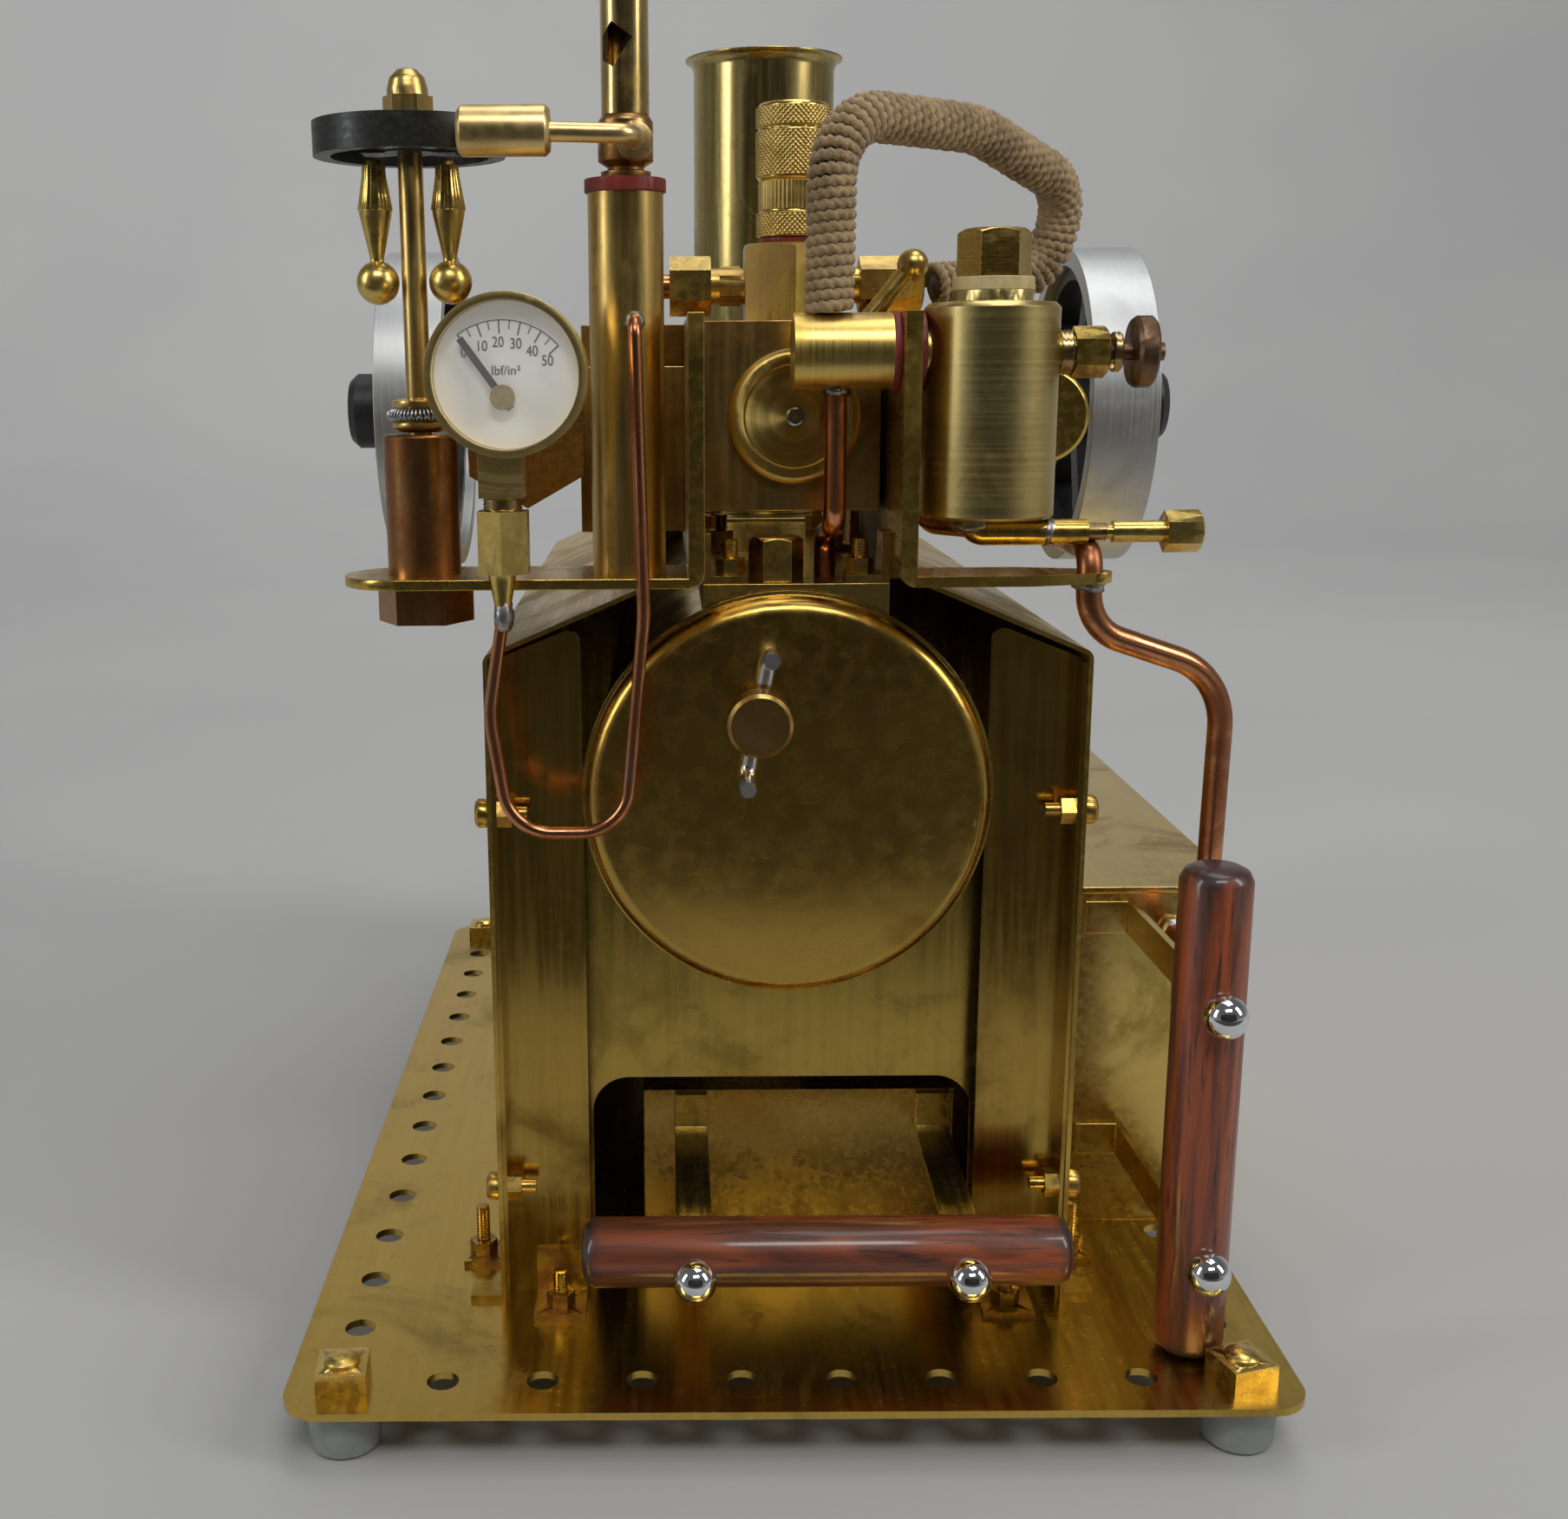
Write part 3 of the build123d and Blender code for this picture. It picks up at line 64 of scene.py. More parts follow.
# ---------------------------------------------------------------- shader tools
class Shader:
    """A Principled material whose patterns are laid out in the row frame, in metres."""

    def __init__(self, name, metallic=0.0, roughness=0.5, **constants):
        self.material = bpy.data.materials.new(name)
        self.material.use_nodes = True
        self.tree = self.material.node_tree
        self.bsdf = self.tree.nodes["Principled BSDF"]
        self.bsdf.inputs["Metallic"].default_value = metallic
        self.bsdf.inputs["Roughness"].default_value = roughness
        for key, value in constants.items():
            self.bsdf.inputs[key.replace("_", " ")].default_value = value
        self.place = self.tree.nodes.new("ShaderNodeTexCoord").outputs["Object"]

    def link(self, source, socket):
        if isinstance(source, bpy.types.NodeSocket):
            self.tree.links.new(source, socket)
        else:
            socket.default_value = source

    def calc(self, operation, a, b=0.0, clamp=False):
        node = self.tree.nodes.new("ShaderNodeMath")
        node.operation = operation
        node.use_clamp = clamp
        self.link(a, node.inputs[0])
        self.link(b, node.inputs[1])
        return node.outputs[0]

    def spread(self, value, low, high, to_low=0.0, to_high=1.0):
        """Map low..high onto to_low..to_high, smoothly and held at the ends."""
        node = self.tree.nodes.new("ShaderNodeMapRange")
        node.interpolation_type = "SMOOTHSTEP"
        for socket, number in zip(node.inputs[:5], (value, low, high, to_low, to_high)):
            self.link(number, socket)
        return node.outputs[0]

    def stretched(self, scale, shift=(0, 0, 0)):
        node = self.tree.nodes.new("ShaderNodeMapping")
        self.link(self.place, node.inputs["Vector"])
        node.inputs["Scale"].default_value = scale
        node.inputs["Location"].default_value = shift
        return node.outputs[0]

    def noise(self, vector, scale=1.0, detail=3.0, rough=0.55, distortion=0.0):
        node = self.tree.nodes.new("ShaderNodeTexNoise")
        self.link(vector, node.inputs["Vector"])
        node.inputs["Scale"].default_value = scale
        node.inputs["Detail"].default_value = detail
        node.inputs["Roughness"].default_value = rough
        node.inputs["Distortion"].default_value = distortion
        return node.outputs[0]

    def blend(self, factor, a, b, kind="MIX"):
        node = self.tree.nodes.new("ShaderNodeMix")
        node.data_type = "RGBA"
        node.blend_type = kind
        self.link(factor, node.inputs[0])
        self.link(a if isinstance(a, bpy.types.NodeSocket) else (*a, 1.0), node.inputs[6])
        self.link(b if isinstance(b, bpy.types.NodeSocket) else (*b, 1.0), node.inputs[7])
        return node.outputs[2]

    def coordinates(self):
        parts = self.tree.nodes.new("ShaderNodeSeparateXYZ")
        self.link(self.place, parts.inputs[0])
        return parts.outputs

    def around(self, centre, axis):
        """Distance from an axis, and height along it, at each point, in metres."""
        places = self.coordinates()
        order = {"X": (1, 2, 0), "Y": (0, 2, 1), "Z": (0, 1, 2)}[axis]
        across = [self.calc("SUBTRACT", places[k], c) for k, c in zip(order, centre)]
        squares = [self.calc("MULTIPLY", a, a) for a in across]
        return self.calc("SQRT", self.calc("ADD", *squares)), places[order[2]]

    def vector(self, x=0.0, y=0.0, z=0.0):
        node = self.tree.nodes.new("ShaderNodeCombineXYZ")
        for value, socket in zip((x, y, z), node.inputs):
            self.link(value, socket)
        return node.outputs[0]

    def finish(self, colour, roughness=None, height=None, strength=0.0, distance=0.0):
        """Connect the colour and, if given, the roughness and a bump with its depth in metres."""
        self.link(colour, self.bsdf.inputs["Base Color"])
        if roughness is not None:
            self.link(roughness, self.bsdf.inputs["Roughness"])
        if height is not None:
            bump = self.tree.nodes.new("ShaderNodeBump")
            bump.inputs["Strength"].default_value = strength
            bump.inputs["Distance"].default_value = distance
            self.link(height, bump.inputs["Height"])
            self.link(bump.outputs[0], self.bsdf.inputs["Normal"])
        return self.material


# ---------------------------------------------------------------- metals
BRIGHT = (0.79, 0.57, 0.17)
GOLDEN = (0.68, 0.46, 0.105)
OLIVE = (0.43, 0.295, 0.062)
BROWN = (0.27, 0.14, 0.04)


def metal(name, light, dark, smooth=0.24, dull=0.42, patch=55.0, age=0.5, stretch=(700, 700, 700),
          grain=0.35, turned=None, spots=0.25, aniso=0.0):
    """Aged sheet or turned metal: tarnish patches, grain or lathe rings, scuffs and small dark spots.

    smooth and dull are the roughness of clean and tarnished metal, and age is how much is tarnished.
    turned is the turning axis: its centre in mm across the axis, and the axis's letter.
    """
    shader = Shader(name, metallic=1.0, Anisotropic=aniso)
    if aniso:
        tangent = shader.tree.nodes.new("ShaderNodeTangent")
        tangent.direction_type = "RADIAL"
        tangent.axis = turned[1]
        shader.link(tangent.outputs[0], shader.bsdf.inputs["Tangent"])
    own_shift = (len(name) * 0.37, 0.2, 0.1)     # so that neighbours don't share their patches
    cloud = shader.noise(shader.stretched((1, 1, 1), own_shift), patch, 5.0, 0.62, 0.6)
    tarnish = shader.spread(cloud, 0.62 - 0.3 * age, 0.80 - 0.2 * age)
    if turned:
        centre, axis = turned
        centre = [c * MM for c in centre]
        if axis != "Z":
            centre[1] += DECK * MM
        rings = [shader.calc("MULTIPLY", value, RING_SCALE) for value in shader.around(centre, axis)]
        lines = shader.noise(shader.vector(*rings), 1.0, 3.0, 0.6)
    else:
        lines = shader.noise(shader.stretched(stretch), 1.0, 3.0, 0.6)
    scuff = shader.noise(shader.stretched((160, 900, 240)), 1.0, 2.0, 0.7, 1.5)
    speck = shader.spread(shader.noise(shader.place, 420.0, 2.0, 0.5), 0.66, 0.74, 0.0, spots)
    colour = shader.blend(tarnish, light, dark)
    shade = shader.spread(lines, 0.3, 0.7, 1.0 - 0.35 * grain, 1.0)
    colour = shader.blend(1.0, colour, shader.vector(shade, shade, shade), "MULTIPLY")
    colour = shader.blend(speck, colour, BROWN)
    rough = shader.spread(tarnish, 0.0, 1.0, smooth, dull)
    rough = shader.calc("ADD", rough, shader.spread(scuff, 0.5, 0.75, 0.0, 0.05))
    rough = shader.calc("ADD", rough, shader.spread(lines, 0.3, 0.7, -0.03, 0.05), clamp=True)
    return shader.finish(colour, rough, lines, 0.10 + 0.2 * grain, METAL_RELIEF)


def paint_metals():
    """Dress the brass and steel nodes: sheets and cast pieces first, then the turned and drawn ones."""
    casing = dict(light=GOLDEN, dark=OLIVE, age=0.7, stretch=LENGTHWAYS, smooth=0.27, dull=0.42)
    shelf = dict(light=GOLDEN, dark=OLIVE, age=0.5, stretch=LENGTHWAYS)
    fastener = dict(light=GOLDEN, dark=(0.40, 0.22, 0.08), age=0.7, patch=200)
    arm = dict(light=BRIGHT, dark=GOLDEN, age=0.4, patch=150, smooth=0.28, dull=0.38)
    sheets = {
        "base_plate": dict(light=GOLDEN, dark=OLIVE, smooth=0.20, dull=0.33, patch=38, age=0.45,
                           stretch=LENGTHWAYS),
        "casing_left": casing,
        "casing_right": casing,
        "front_wings": dict(light=(0.52, 0.34, 0.075), dark=(0.30, 0.18, 0.035), age=0.6,
                            stretch=UPRIGHT, smooth=0.17, dull=0.26, grain=0.6),
        "end_panels": dict(light=(0.60, 0.41, 0.09), dark=OLIVE, age=0.5, stretch=UPRIGHT, smooth=0.22,
                           dull=0.32, grain=0.7),
        "side_plates": dict(light=(0.46, 0.31, 0.10), dark=(0.22, 0.14, 0.05), age=0.8,
                            stretch=LENGTHWAYS, smooth=0.36, dull=0.52),
        "shelf_left": shelf,
        "shelf_right": shelf,
        "saddle": dict(light=BRIGHT, dark=GOLDEN, age=0.4, stretch=LENGTHWAYS, smooth=0.2, dull=0.32),
        "steam_blocks": dict(light=(0.60, 0.40, 0.14), dark=BROWN, age=0.75, stretch=UPRIGHT, smooth=0.3,
                             dull=0.48),
        "steam_tee": dict(light=GOLDEN, dark=(0.44, 0.28, 0.09), age=0.6, stretch=UPRIGHT),
        "tank": dict(light=BRIGHT, dark=OLIVE, age=0.5, stretch=LENGTHWAYS, smooth=0.2, dull=0.36),
        "burner_tray": dict(light=(0.86, 0.66, 0.24), dark=BRIGHT, age=0.35, spots=0.06,
                            stretch=LENGTHWAYS, smooth=0.24, dull=0.36),
        "casing_fasteners": fastener,
        "engine_fasteners": fastener,
        "corner_fasteners": dict(light=BRIGHT, dark=GOLDEN, age=0.5, patch=200),
        "union_nuts": dict(light=BRIGHT, dark=(0.46, 0.30, 0.10), age=0.5, patch=150),
        "lubricator_fittings": dict(light=GOLDEN, dark=BROWN, age=0.6, patch=150),
        "drain_valve_knob": dict(light=BRIGHT, dark=GOLDEN, age=0.4, patch=150),
        "cylinder_right": shelf,
        "cylinder_left": dict(light=(0.60, 0.38, 0.14), dark=BROWN, age=0.5, stretch=LENGTHWAYS,
                              smooth=0.26, dull=0.4),
        "governor_arm_left": arm,
        "governor_arm_right": arm,
        "regulator_lever": dict(light=BRIGHT, dark=(0.52, 0.34, 0.13), age=0.5, patch=150, smooth=0.28,
                                dull=0.4),
        "whistle_lever": dict(light=(0.84, 0.62, 0.28), dark=(0.64, 0.43, 0.16), age=0.4, patch=120,
                              smooth=0.34, dull=0.44),
    }
    punched = {"base_plate", "casing_left", "casing_right", "end_panels", "side_plates", "front_wings"}

    for node, recipe in sheets.items():
        dress(node, metal("m_" + node, **recipe), edge=0 if node in punched else BEVEL)

    turned = {
        "whistle_column": dict(light=(0.66, 0.46, 0.15), dark=(0.42, 0.29, 0.10), age=0.5, patch=60,
                               smooth=0.3, dull=0.42),
        "whistle_tube": dict(light=(0.66, 0.47, 0.20), dark=OLIVE, age=0.5, smooth=0.22, dull=0.4),
        "whistle_valve": dict(light=(0.50, 0.32, 0.13), dark=BROWN, age=0.7, patch=160, smooth=0.26,
                              dull=0.45),
        "lubricator_body": dict(light=(0.62, 0.49, 0.20), dark=(0.50, 0.38, 0.14), age=0.5, smooth=0.3,
                                dull=0.4, grain=0.2),
        "lubricator_cap": dict(light=GOLDEN, dark=(0.46, 0.30, 0.10), age=0.5, patch=150),
        "safety_valve_body": dict(light=BRIGHT, dark=GOLDEN, age=0.4, smooth=0.2, dull=0.32),
        "safety_valve_stem": dict(light=BRIGHT, dark=GOLDEN, age=0.4),
        "governor_post": dict(light=(0.48, 0.24, 0.09), dark=(0.27, 0.11, 0.04), age=0.6, patch=80,
                              smooth=0.26, dull=0.4),
        "governor_spindle": dict(light=(0.70, 0.49, 0.17), dark=(0.46, 0.31, 0.10), age=0.5, patch=120,
                                 smooth=0.3),
        "chimney": dict(light=(0.52, 0.40, 0.15), dark=(0.33, 0.24, 0.08), age=0.6, patch=45,
                        smooth=0.22, dull=0.36),
        "valve_disc": dict(light=BRIGHT, dark=(0.60, 0.41, 0.14), age=0.4, patch=90, grain=0.7,
                           smooth=0.34, dull=0.42, aniso=0.9),
        "boiler_end_caps": dict(light=(0.52, 0.335, 0.075), dark=(0.34, 0.20, 0.04), age=0.55, patch=30,
                                grain=0.12, smooth=0.24, dull=0.30),
        "boiler_shell": dict(light=GOLDEN, dark=OLIVE, age=0.5),
        "gauge_case": dict(light=(0.90, 0.69, 0.27), dark=BRIGHT, age=0.3, smooth=0.34, dull=0.42,
                           grain=0.15),
        "regulator_body": dict(light=BRIGHT, dark=GOLDEN, age=0.4, smooth=0.32, dull=0.42, grain=0.4),
        "flywheel_rims": dict(light=(0.56, 0.57, 0.57), dark=(0.47, 0.48, 0.48), age=0.4, patch=60,
                              spots=0.1, smooth=0.44, dull=0.54, grain=0.2),
        "needle_valve_wheel": dict(light=(0.24, 0.15, 0.09), dark=(0.12, 0.07, 0.045), age=0.6,
                                   patch=200, smooth=0.4, dull=0.6),
    }
    drawn = dict(stretch=UPRIGHT)
    lay = {
        "whistle_column": drawn, "whistle_tube": drawn, "chimney": drawn,
        "governor_post": drawn, "governor_spindle": drawn,
        "boiler_end_caps": dict(stretch=(380, 380, 380)),
        "whistle_valve": dict(turned=(COLUMN, "Z")),
        "lubricator_body": dict(turned=(LUBRICATOR, "Z")),
        "lubricator_cap": dict(turned=(LUBRICATOR, "Z")),
        "safety_valve_body": dict(turned=(SAFETY_VALVE, "Z")),
        "safety_valve_stem": dict(turned=(SAFETY_VALVE, "Z")),
        "valve_disc": dict(turned=(DISC, "Y")), "boiler_shell": dict(turned=(BOILER, "Y")),
        "gauge_case": dict(turned=((-33.6, 125.1), "Y")), "flywheel_rims": dict(turned=(CRANK, "X")),
        "regulator_body": dict(turned=((-70.0, 127.6), "X")),
        "needle_valve_wheel": dict(turned=((-70.0, 127.3), "X")),
    }
    for node, recipe in turned.items():
        dress(node, metal("m_" + node, **lay[node], **recipe))


def steel(name, smooth):
    return metal(name, (0.62, 0.62, 0.62), (0.40, 0.38, 0.36), smooth, 0.42, patch=180, age=0.5,
                 stretch=(1500, 120, 1500), spots=0.15)


def worn(name, tones, other_tones=None, part=None):
    """Cloudy metal from a pair of tones. The other pair shows where part(shader), if given, is 1."""
    shader = Shader(name, metallic=1.0)
    cloud = shader.noise(shader.place, 160.0, 4.0, 0.6)
    tarnish = shader.spread(cloud, 0.4, 0.65)
    colour = shader.blend(tarnish, *tones)
    if part:
        colour = shader.blend(part(shader), colour, shader.blend(tarnish, *other_tones))
    lines = shader.noise(shader.stretched((2200, 2200, 2200)), 1.0, 2.0)
    rough = shader.spread(cloud, 0.35, 0.7, 0.2, 0.4)
    return shader.finish(colour, rough, lines, 0.15, HAIRLINE)


def copper():
    shader = Shader("copper_tube", metallic=1.0)
    cloud = shader.noise(shader.place, 110.0, 5.0, 0.65, 0.8)
    tone = shader.blend(shader.spread(cloud, 0.38, 0.62), (0.66, 0.28, 0.13), (0.34, 0.13, 0.06))
    broad = shader.noise(shader.stretched((1, 1, 1), (3, 1, 2)), 60.0, 3.0)
    bloom = shader.spread(broad, 0.58, 0.72, 0.0, 0.7)
    colour = shader.blend(bloom, tone, (0.42, 0.26, 0.17))
    draw_lines = shader.noise(shader.stretched((1500, 1500, 160)), 1.0, 2.0)
    rough = shader.spread(cloud, 0.35, 0.7, 0.2, 0.42)
    return shader.finish(colour, rough, draw_lines, 0.12, HAIRLINE)


# ---------------------------------------------------------------- other materials
def plastic(name, light, dark, rough=0.42):
    shader = Shader(name, IOR=1.48)
    fine = shader.noise(shader.place, 1400.0, 3.0, 0.6)
    broad = shader.noise(shader.place, 90.0, 3.0)
    colour = shader.blend(shader.spread(broad, 0.35, 0.7), light, dark)
    dust = shader.spread(shader.noise(shader.place, 700.0, 2.0), 0.62, 0.72, 0.0, 0.25)
    colour = shader.blend(dust, colour, [2.0 * c + 0.012 for c in light])
    sheen = shader.spread(fine, 0.3, 0.7, rough - 0.08, rough + 0.12)
    return shader.finish(colour, sheen, fine, 0.18, 0.00004)


def rubber():
    shader = Shader("foot_rubber_grey", IOR=1.5)
    fine = shader.noise(shader.place, 1100.0, 4.0, 0.65)
    broad = shader.noise(shader.place, 120.0, 3.0)
    colour = shader.blend(shader.spread(broad, 0.3, 0.7), (0.30, 0.32, 0.31), (0.22, 0.235, 0.225))
    return shader.finish(colour, shader.spread(fine, 0.3, 0.7, 0.55, 0.8), fine, 0.3, 0.00006)


def wood(name, axis, ends):
    """Dark red-brown varnished hardwood: long pores along the axis, darker bands and blackened ends."""
    shader = Shader(name, IOR=1.5, Coat_Weight=0.5, Coat_Roughness=0.1)

    def grown(long, across, shift=(0, 0, 0)):
        scale = [across] * 3
        scale["XYZ".index(axis)] = long
        return shader.stretched(scale, shift)

    grain = shader.noise(grown(34.0, 560.0), 1.0, 5.0, 0.62, 0.4)
    bands = shader.noise(grown(16.0, 150.0, (0.7, 0.3, 0.9)), 1.0, 4.0, 0.6, 1.2)
    pores = shader.spread(shader.noise(grown(120.0, 1500.0), 1.0, 2.0), 0.60, 0.68)
    colour = shader.blend(shader.spread(bands, 0.36, 0.62), (0.31, 0.062, 0.013), (0.10, 0.023, 0.008))
    colour = shader.blend(shader.spread(grain, 0.42, 0.66, 0.0, 0.75), colour, (0.045, 0.014, 0.008))
    colour = shader.blend(shader.calc("MULTIPLY", pores, 0.7), colour, (0.018, 0.008, 0.006))
    low, high = (e * MM for e in ends)
    uneven = shader.calc("SUBTRACT", shader.noise(shader.place, 260.0), 0.5)
    wobble = shader.calc("MULTIPLY", uneven, 0.004)
    along = shader.calc("ADD", shader.coordinates()["XYZ".index(axis)], wobble)
    charred, clean = 0.0004, 0.003               # how far the black goes in from each end, in metres
    near_low = shader.spread(along, low + charred, low + clean, 0.85, 0.0)
    near_high = shader.spread(along, high - clean, high - charred, 0.0, 0.85)
    colour = shader.blend(shader.calc("MAXIMUM", near_low, near_high), colour, (0.016, 0.010, 0.010))
    height = shader.calc("SUBTRACT", shader.calc("MULTIPLY", grain, 0.5), pores)
    return shader.finish(colour, shader.spread(grain, 0.3, 0.7, 0.38, 0.52), height, 0.25, 0.00005)


def cord_fibre(name, light, dark):
    """Waxed cord: fine fibre streaks over broader stains."""
    shader = Shader(name, IOR=1.45, Sheen_Weight=0.35, Sheen_Roughness=0.5)
    fibre = shader.noise(shader.place, 2600.0, 3.0, 0.7)
    broad = shader.noise(shader.place, 180.0, 4.0, 0.6)
    colour = shader.blend(shader.spread(broad, 0.34, 0.66), light, dark)
    colour = shader.blend(shader.spread(fibre, 0.48, 0.7, 0.0, 0.7), colour, [1.5 * c for c in light])
    return shader.finish(colour, shader.spread(fibre, 0.3, 0.7, 0.6, 0.85), fibre, 0.9, 0.00012)


def dial_face():
    shader = Shader("dial_enamel", IOR=1.5)
    broad = shader.noise(shader.place, 150.0, 3.0)
    fine = shader.noise(shader.place, 2200.0, 2.0)
    colour = shader.blend(shader.spread(broad, 0.35, 0.7), (0.92, 0.91, 0.87), (0.88, 0.865, 0.81))
    return shader.finish(colour, shader.spread(fine, 0.3, 0.7, 0.42, 0.52), fine, 0.05, HAIRLINE)


def window_glass():
    shader = Shader("window_clear", roughness=0.03, IOR=1.45, Alpha=0.07)
    haze = shader.noise(shader.place, 240.0, 3.0)
    tint = shader.blend(haze, (0.95, 0.97, 0.96), (0.88, 0.90, 0.89))
    return shader.finish(tint, shader.spread(haze, 0.4, 0.75, 0.02, 0.07))


def fibre_washer():
    """Red fibre, and a pale seal under the lubricator's cap."""
    shader = Shader("fibre_rings", IOR=1.48)
    seal_radius, seal_bottom = 6, 133.5
    radius, height = shader.around((LUBRICATOR[0] * MM, LUBRICATOR[1] * MM), "Z")
    above = shader.calc("GREATER_THAN", height, (DECK + seal_bottom) * MM)
    pale = shader.calc("MULTIPLY", shader.calc("LESS_THAN", radius, seal_radius * MM), above)
    broad = shader.noise(shader.place, 260.0, 4.0)
    red = shader.blend(shader.spread(broad, 0.3, 0.7), (0.27, 0.030, 0.022), (0.13, 0.018, 0.015))
    cream = shader.blend(shader.spread(broad, 0.3, 0.7), (0.60, 0.50, 0.26), (0.44, 0.34, 0.15))
    fine = shader.noise(shader.place, 1900.0, 3.0)
    rough = shader.spread(fine, 0.3, 0.7, 0.38, 0.58)
    return shader.finish(shader.blend(pale, red, cream), rough, fine, 0.2, 0.00004)


def needle_paint():
    """Black pointer with a bare brass boss."""
    shader = Shader("pointer_paint", roughness=0.35)
    boss_radius = 1.5
    radius, _ = shader.around((PIVOT[0] * MM, (PIVOT[1] + DECK) * MM), "Y")
    boss = shader.calc("LESS_THAN", radius, boss_radius * MM)
    fine = shader.noise(shader.place, 1500.0, 3.0)
    brass = shader.blend(shader.spread(fine, 0.3, 0.7), (0.62, 0.44, 0.20), (0.48, 0.32, 0.13))
    black = shader.blend(shader.spread(fine, 0.3, 0.7), (0.022, 0.021, 0.020), (0.045, 0.043, 0.040))
    shader.link(shader.calc("MULTIPLY", boss, 0.55), shader.bsdf.inputs["Metallic"])
    rough = shader.spread(fine, 0.3, 0.7, 0.3, 0.42)
    return shader.finish(shader.blend(boss, black, brass), rough, fine, 0.05, HAIRLINE)


def ink():
    shader = Shader("dial_ink", roughness=0.55)
    fine = shader.noise(shader.place, 3000.0, 2.0)
    return shader.finish(shader.blend(fine, (0.02, 0.02, 0.022), (0.055, 0.053, 0.05)))


def chrome():
    shader = Shader("bright_chrome", metallic=1.0)
    haze = shader.noise(shader.place, 500.0, 3.0)
    colour = shader.blend(shader.spread(haze, 0.35, 0.7), (0.86, 0.87, 0.89), (0.76, 0.77, 0.79))
    return shader.finish(colour, shader.spread(haze, 0.4, 0.75, 0.05, 0.12), haze, 0.03, HAIRLINE)


def solder():
    shader = Shader("soft_solder", metallic=1.0)
    lump = shader.noise(shader.place, 900.0, 4.0, 0.65)
    colour = shader.blend(shader.spread(lump, 0.35, 0.68), (0.46, 0.45, 0.44), (0.24, 0.21, 0.19))
    return shader.finish(colour, shader.spread(lump, 0.3, 0.7, 0.3, 0.5), lump, 0.4, 0.00008)


# ---------------------------------------------------------------- CAD nodes
def dress(node, material, edge=BEVEL):
    """Give a CAD node its material, and bevel its edges by so many mm or, at 0, only keep them crisp."""
    obj = NODES[node]
    obj.data.materials.clear()
    obj.data.materials.append(material)
    for polygon in obj.data.polygons:
        polygon.use_smooth = True
    weld = obj.modifiers.new("weld", "WELD")
    weld.merge_threshold = WELD_GAP
    if edge:
        bevel = obj.modifiers.new("edge", "BEVEL")
        bevel.width = edge * MM
        bevel.segments = 2
        bevel.limit_method = "ANGLE"
        bevel.angle_limit = CREASE
        bevel.harden_normals = True
        normals = obj.modifiers.new("normals", "WEIGHTED_NORMAL")
        normals.keep_sharp = False
    else:
        split = obj.modifiers.new("crisp", "EDGE_SPLIT")
        split.split_angle = CREASE


# ---------------------------------------------------------------- mesh tools
def link_to_scene(obj):
    bpy.context.scene.collection.objects.link(obj)


def mesh_object(name, points, faces, material, smooth=True):
    """Mesh object with its points in metres above the floor."""
    mesh = bpy.data.meshes.new(name)
    mesh.from_pydata([tuple(p) for p in points], [], [tuple(int(i) for i in f) for f in faces])
    mesh.polygons.foreach_set("use_smooth", [smooth] * len(mesh.polygons))
    mesh.materials.append(material)
    mesh.update()
    obj = bpy.data.objects.new(name, mesh)
    link_to_scene(obj)
    return obj


def piece(name, points, faces, material, body, smooth=True):
    """Visible piece that rides a body, from points in mm above the base plate's top face."""
    obj = mesh_object(name, (np.asarray(points, float) + (0.0, 0.0, DECK)) * MM, faces, material, smooth)
    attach(obj, body)
    return obj


def bent(points, radii, step=0.25):
    """Centre line of a pipe: straight runs joined by tangent arcs, as evenly spaced points."""
    points = [np.asarray(p, float) for p in points]
    line = [points[0]]
    for before, corner, after, radius in zip(points, points[1:], points[2:], radii):
        a, b = before - corner, after - corner
        a, b = a / np.linalg.norm(a), b / np.linalg.norm(b)
        half = math.acos(float(np.clip(a @ b, -1, 1))) / 2
        bisector = (a + b) / np.linalg.norm(a + b)
        centre = corner + bisector * radius / math.sin(half)
        start = corner + a * radius / math.tan(half)
        end = corner + b * radius / math.tan(half)
        u, v = (start - centre) / radius, (end - centre) / radius
        turn = math.acos(float(np.clip(u @ v, -1, 1)))
        count = max(3, int(turn * radius / step))
        for k in range(count + 1):
            t = k / count
            mixed = math.sin((1 - t) * turn) * u + math.sin(t * turn) * v
            line.append(centre + radius * mixed / math.sin(turn))
    line.append(points[-1])
    return evenly(line, step)


def evenly(line, step):
    """The same line with evenly spaced points."""
    line = np.asarray(line)
    lengths = np.r_[0, np.cumsum(np.linalg.norm(np.diff(line, axis=0), axis=1))]
    marks = np.linspace(0, lengths[-1], int(lengths[-1] / step) + 1)
    return np.column_stack([np.interp(marks, lengths, line[:, k]) for k in range(3)])


def carried_frames(line):
    """Two directions across the line at each point, carried along it without twist."""
    tangents = np.gradient(line, axis=0)
    tangents /= np.linalg.norm(tangents, axis=1)[:, None]
    side = np.cross(tangents[0], (0.3, 0.2, 0.93))
    side /= np.linalg.norm(side)
    sides = []
    for tangent in tangents:
        side = side - tangent * (side @ tangent)
        side /= np.linalg.norm(side)
        sides.append(side)
    sides = np.array(sides)
    return sides, np.cross(tangents, sides)


def quads(rows, sides):
    """Faces between each ring of points and the next."""
    corners = [(j, (j + 1) % sides) for j in range(sides)]
    return [(i * sides + j, i * sides + k, (i + 1) * sides + k, (i + 1) * sides + j)
            for i in range(rows - 1) for j, k in corners]


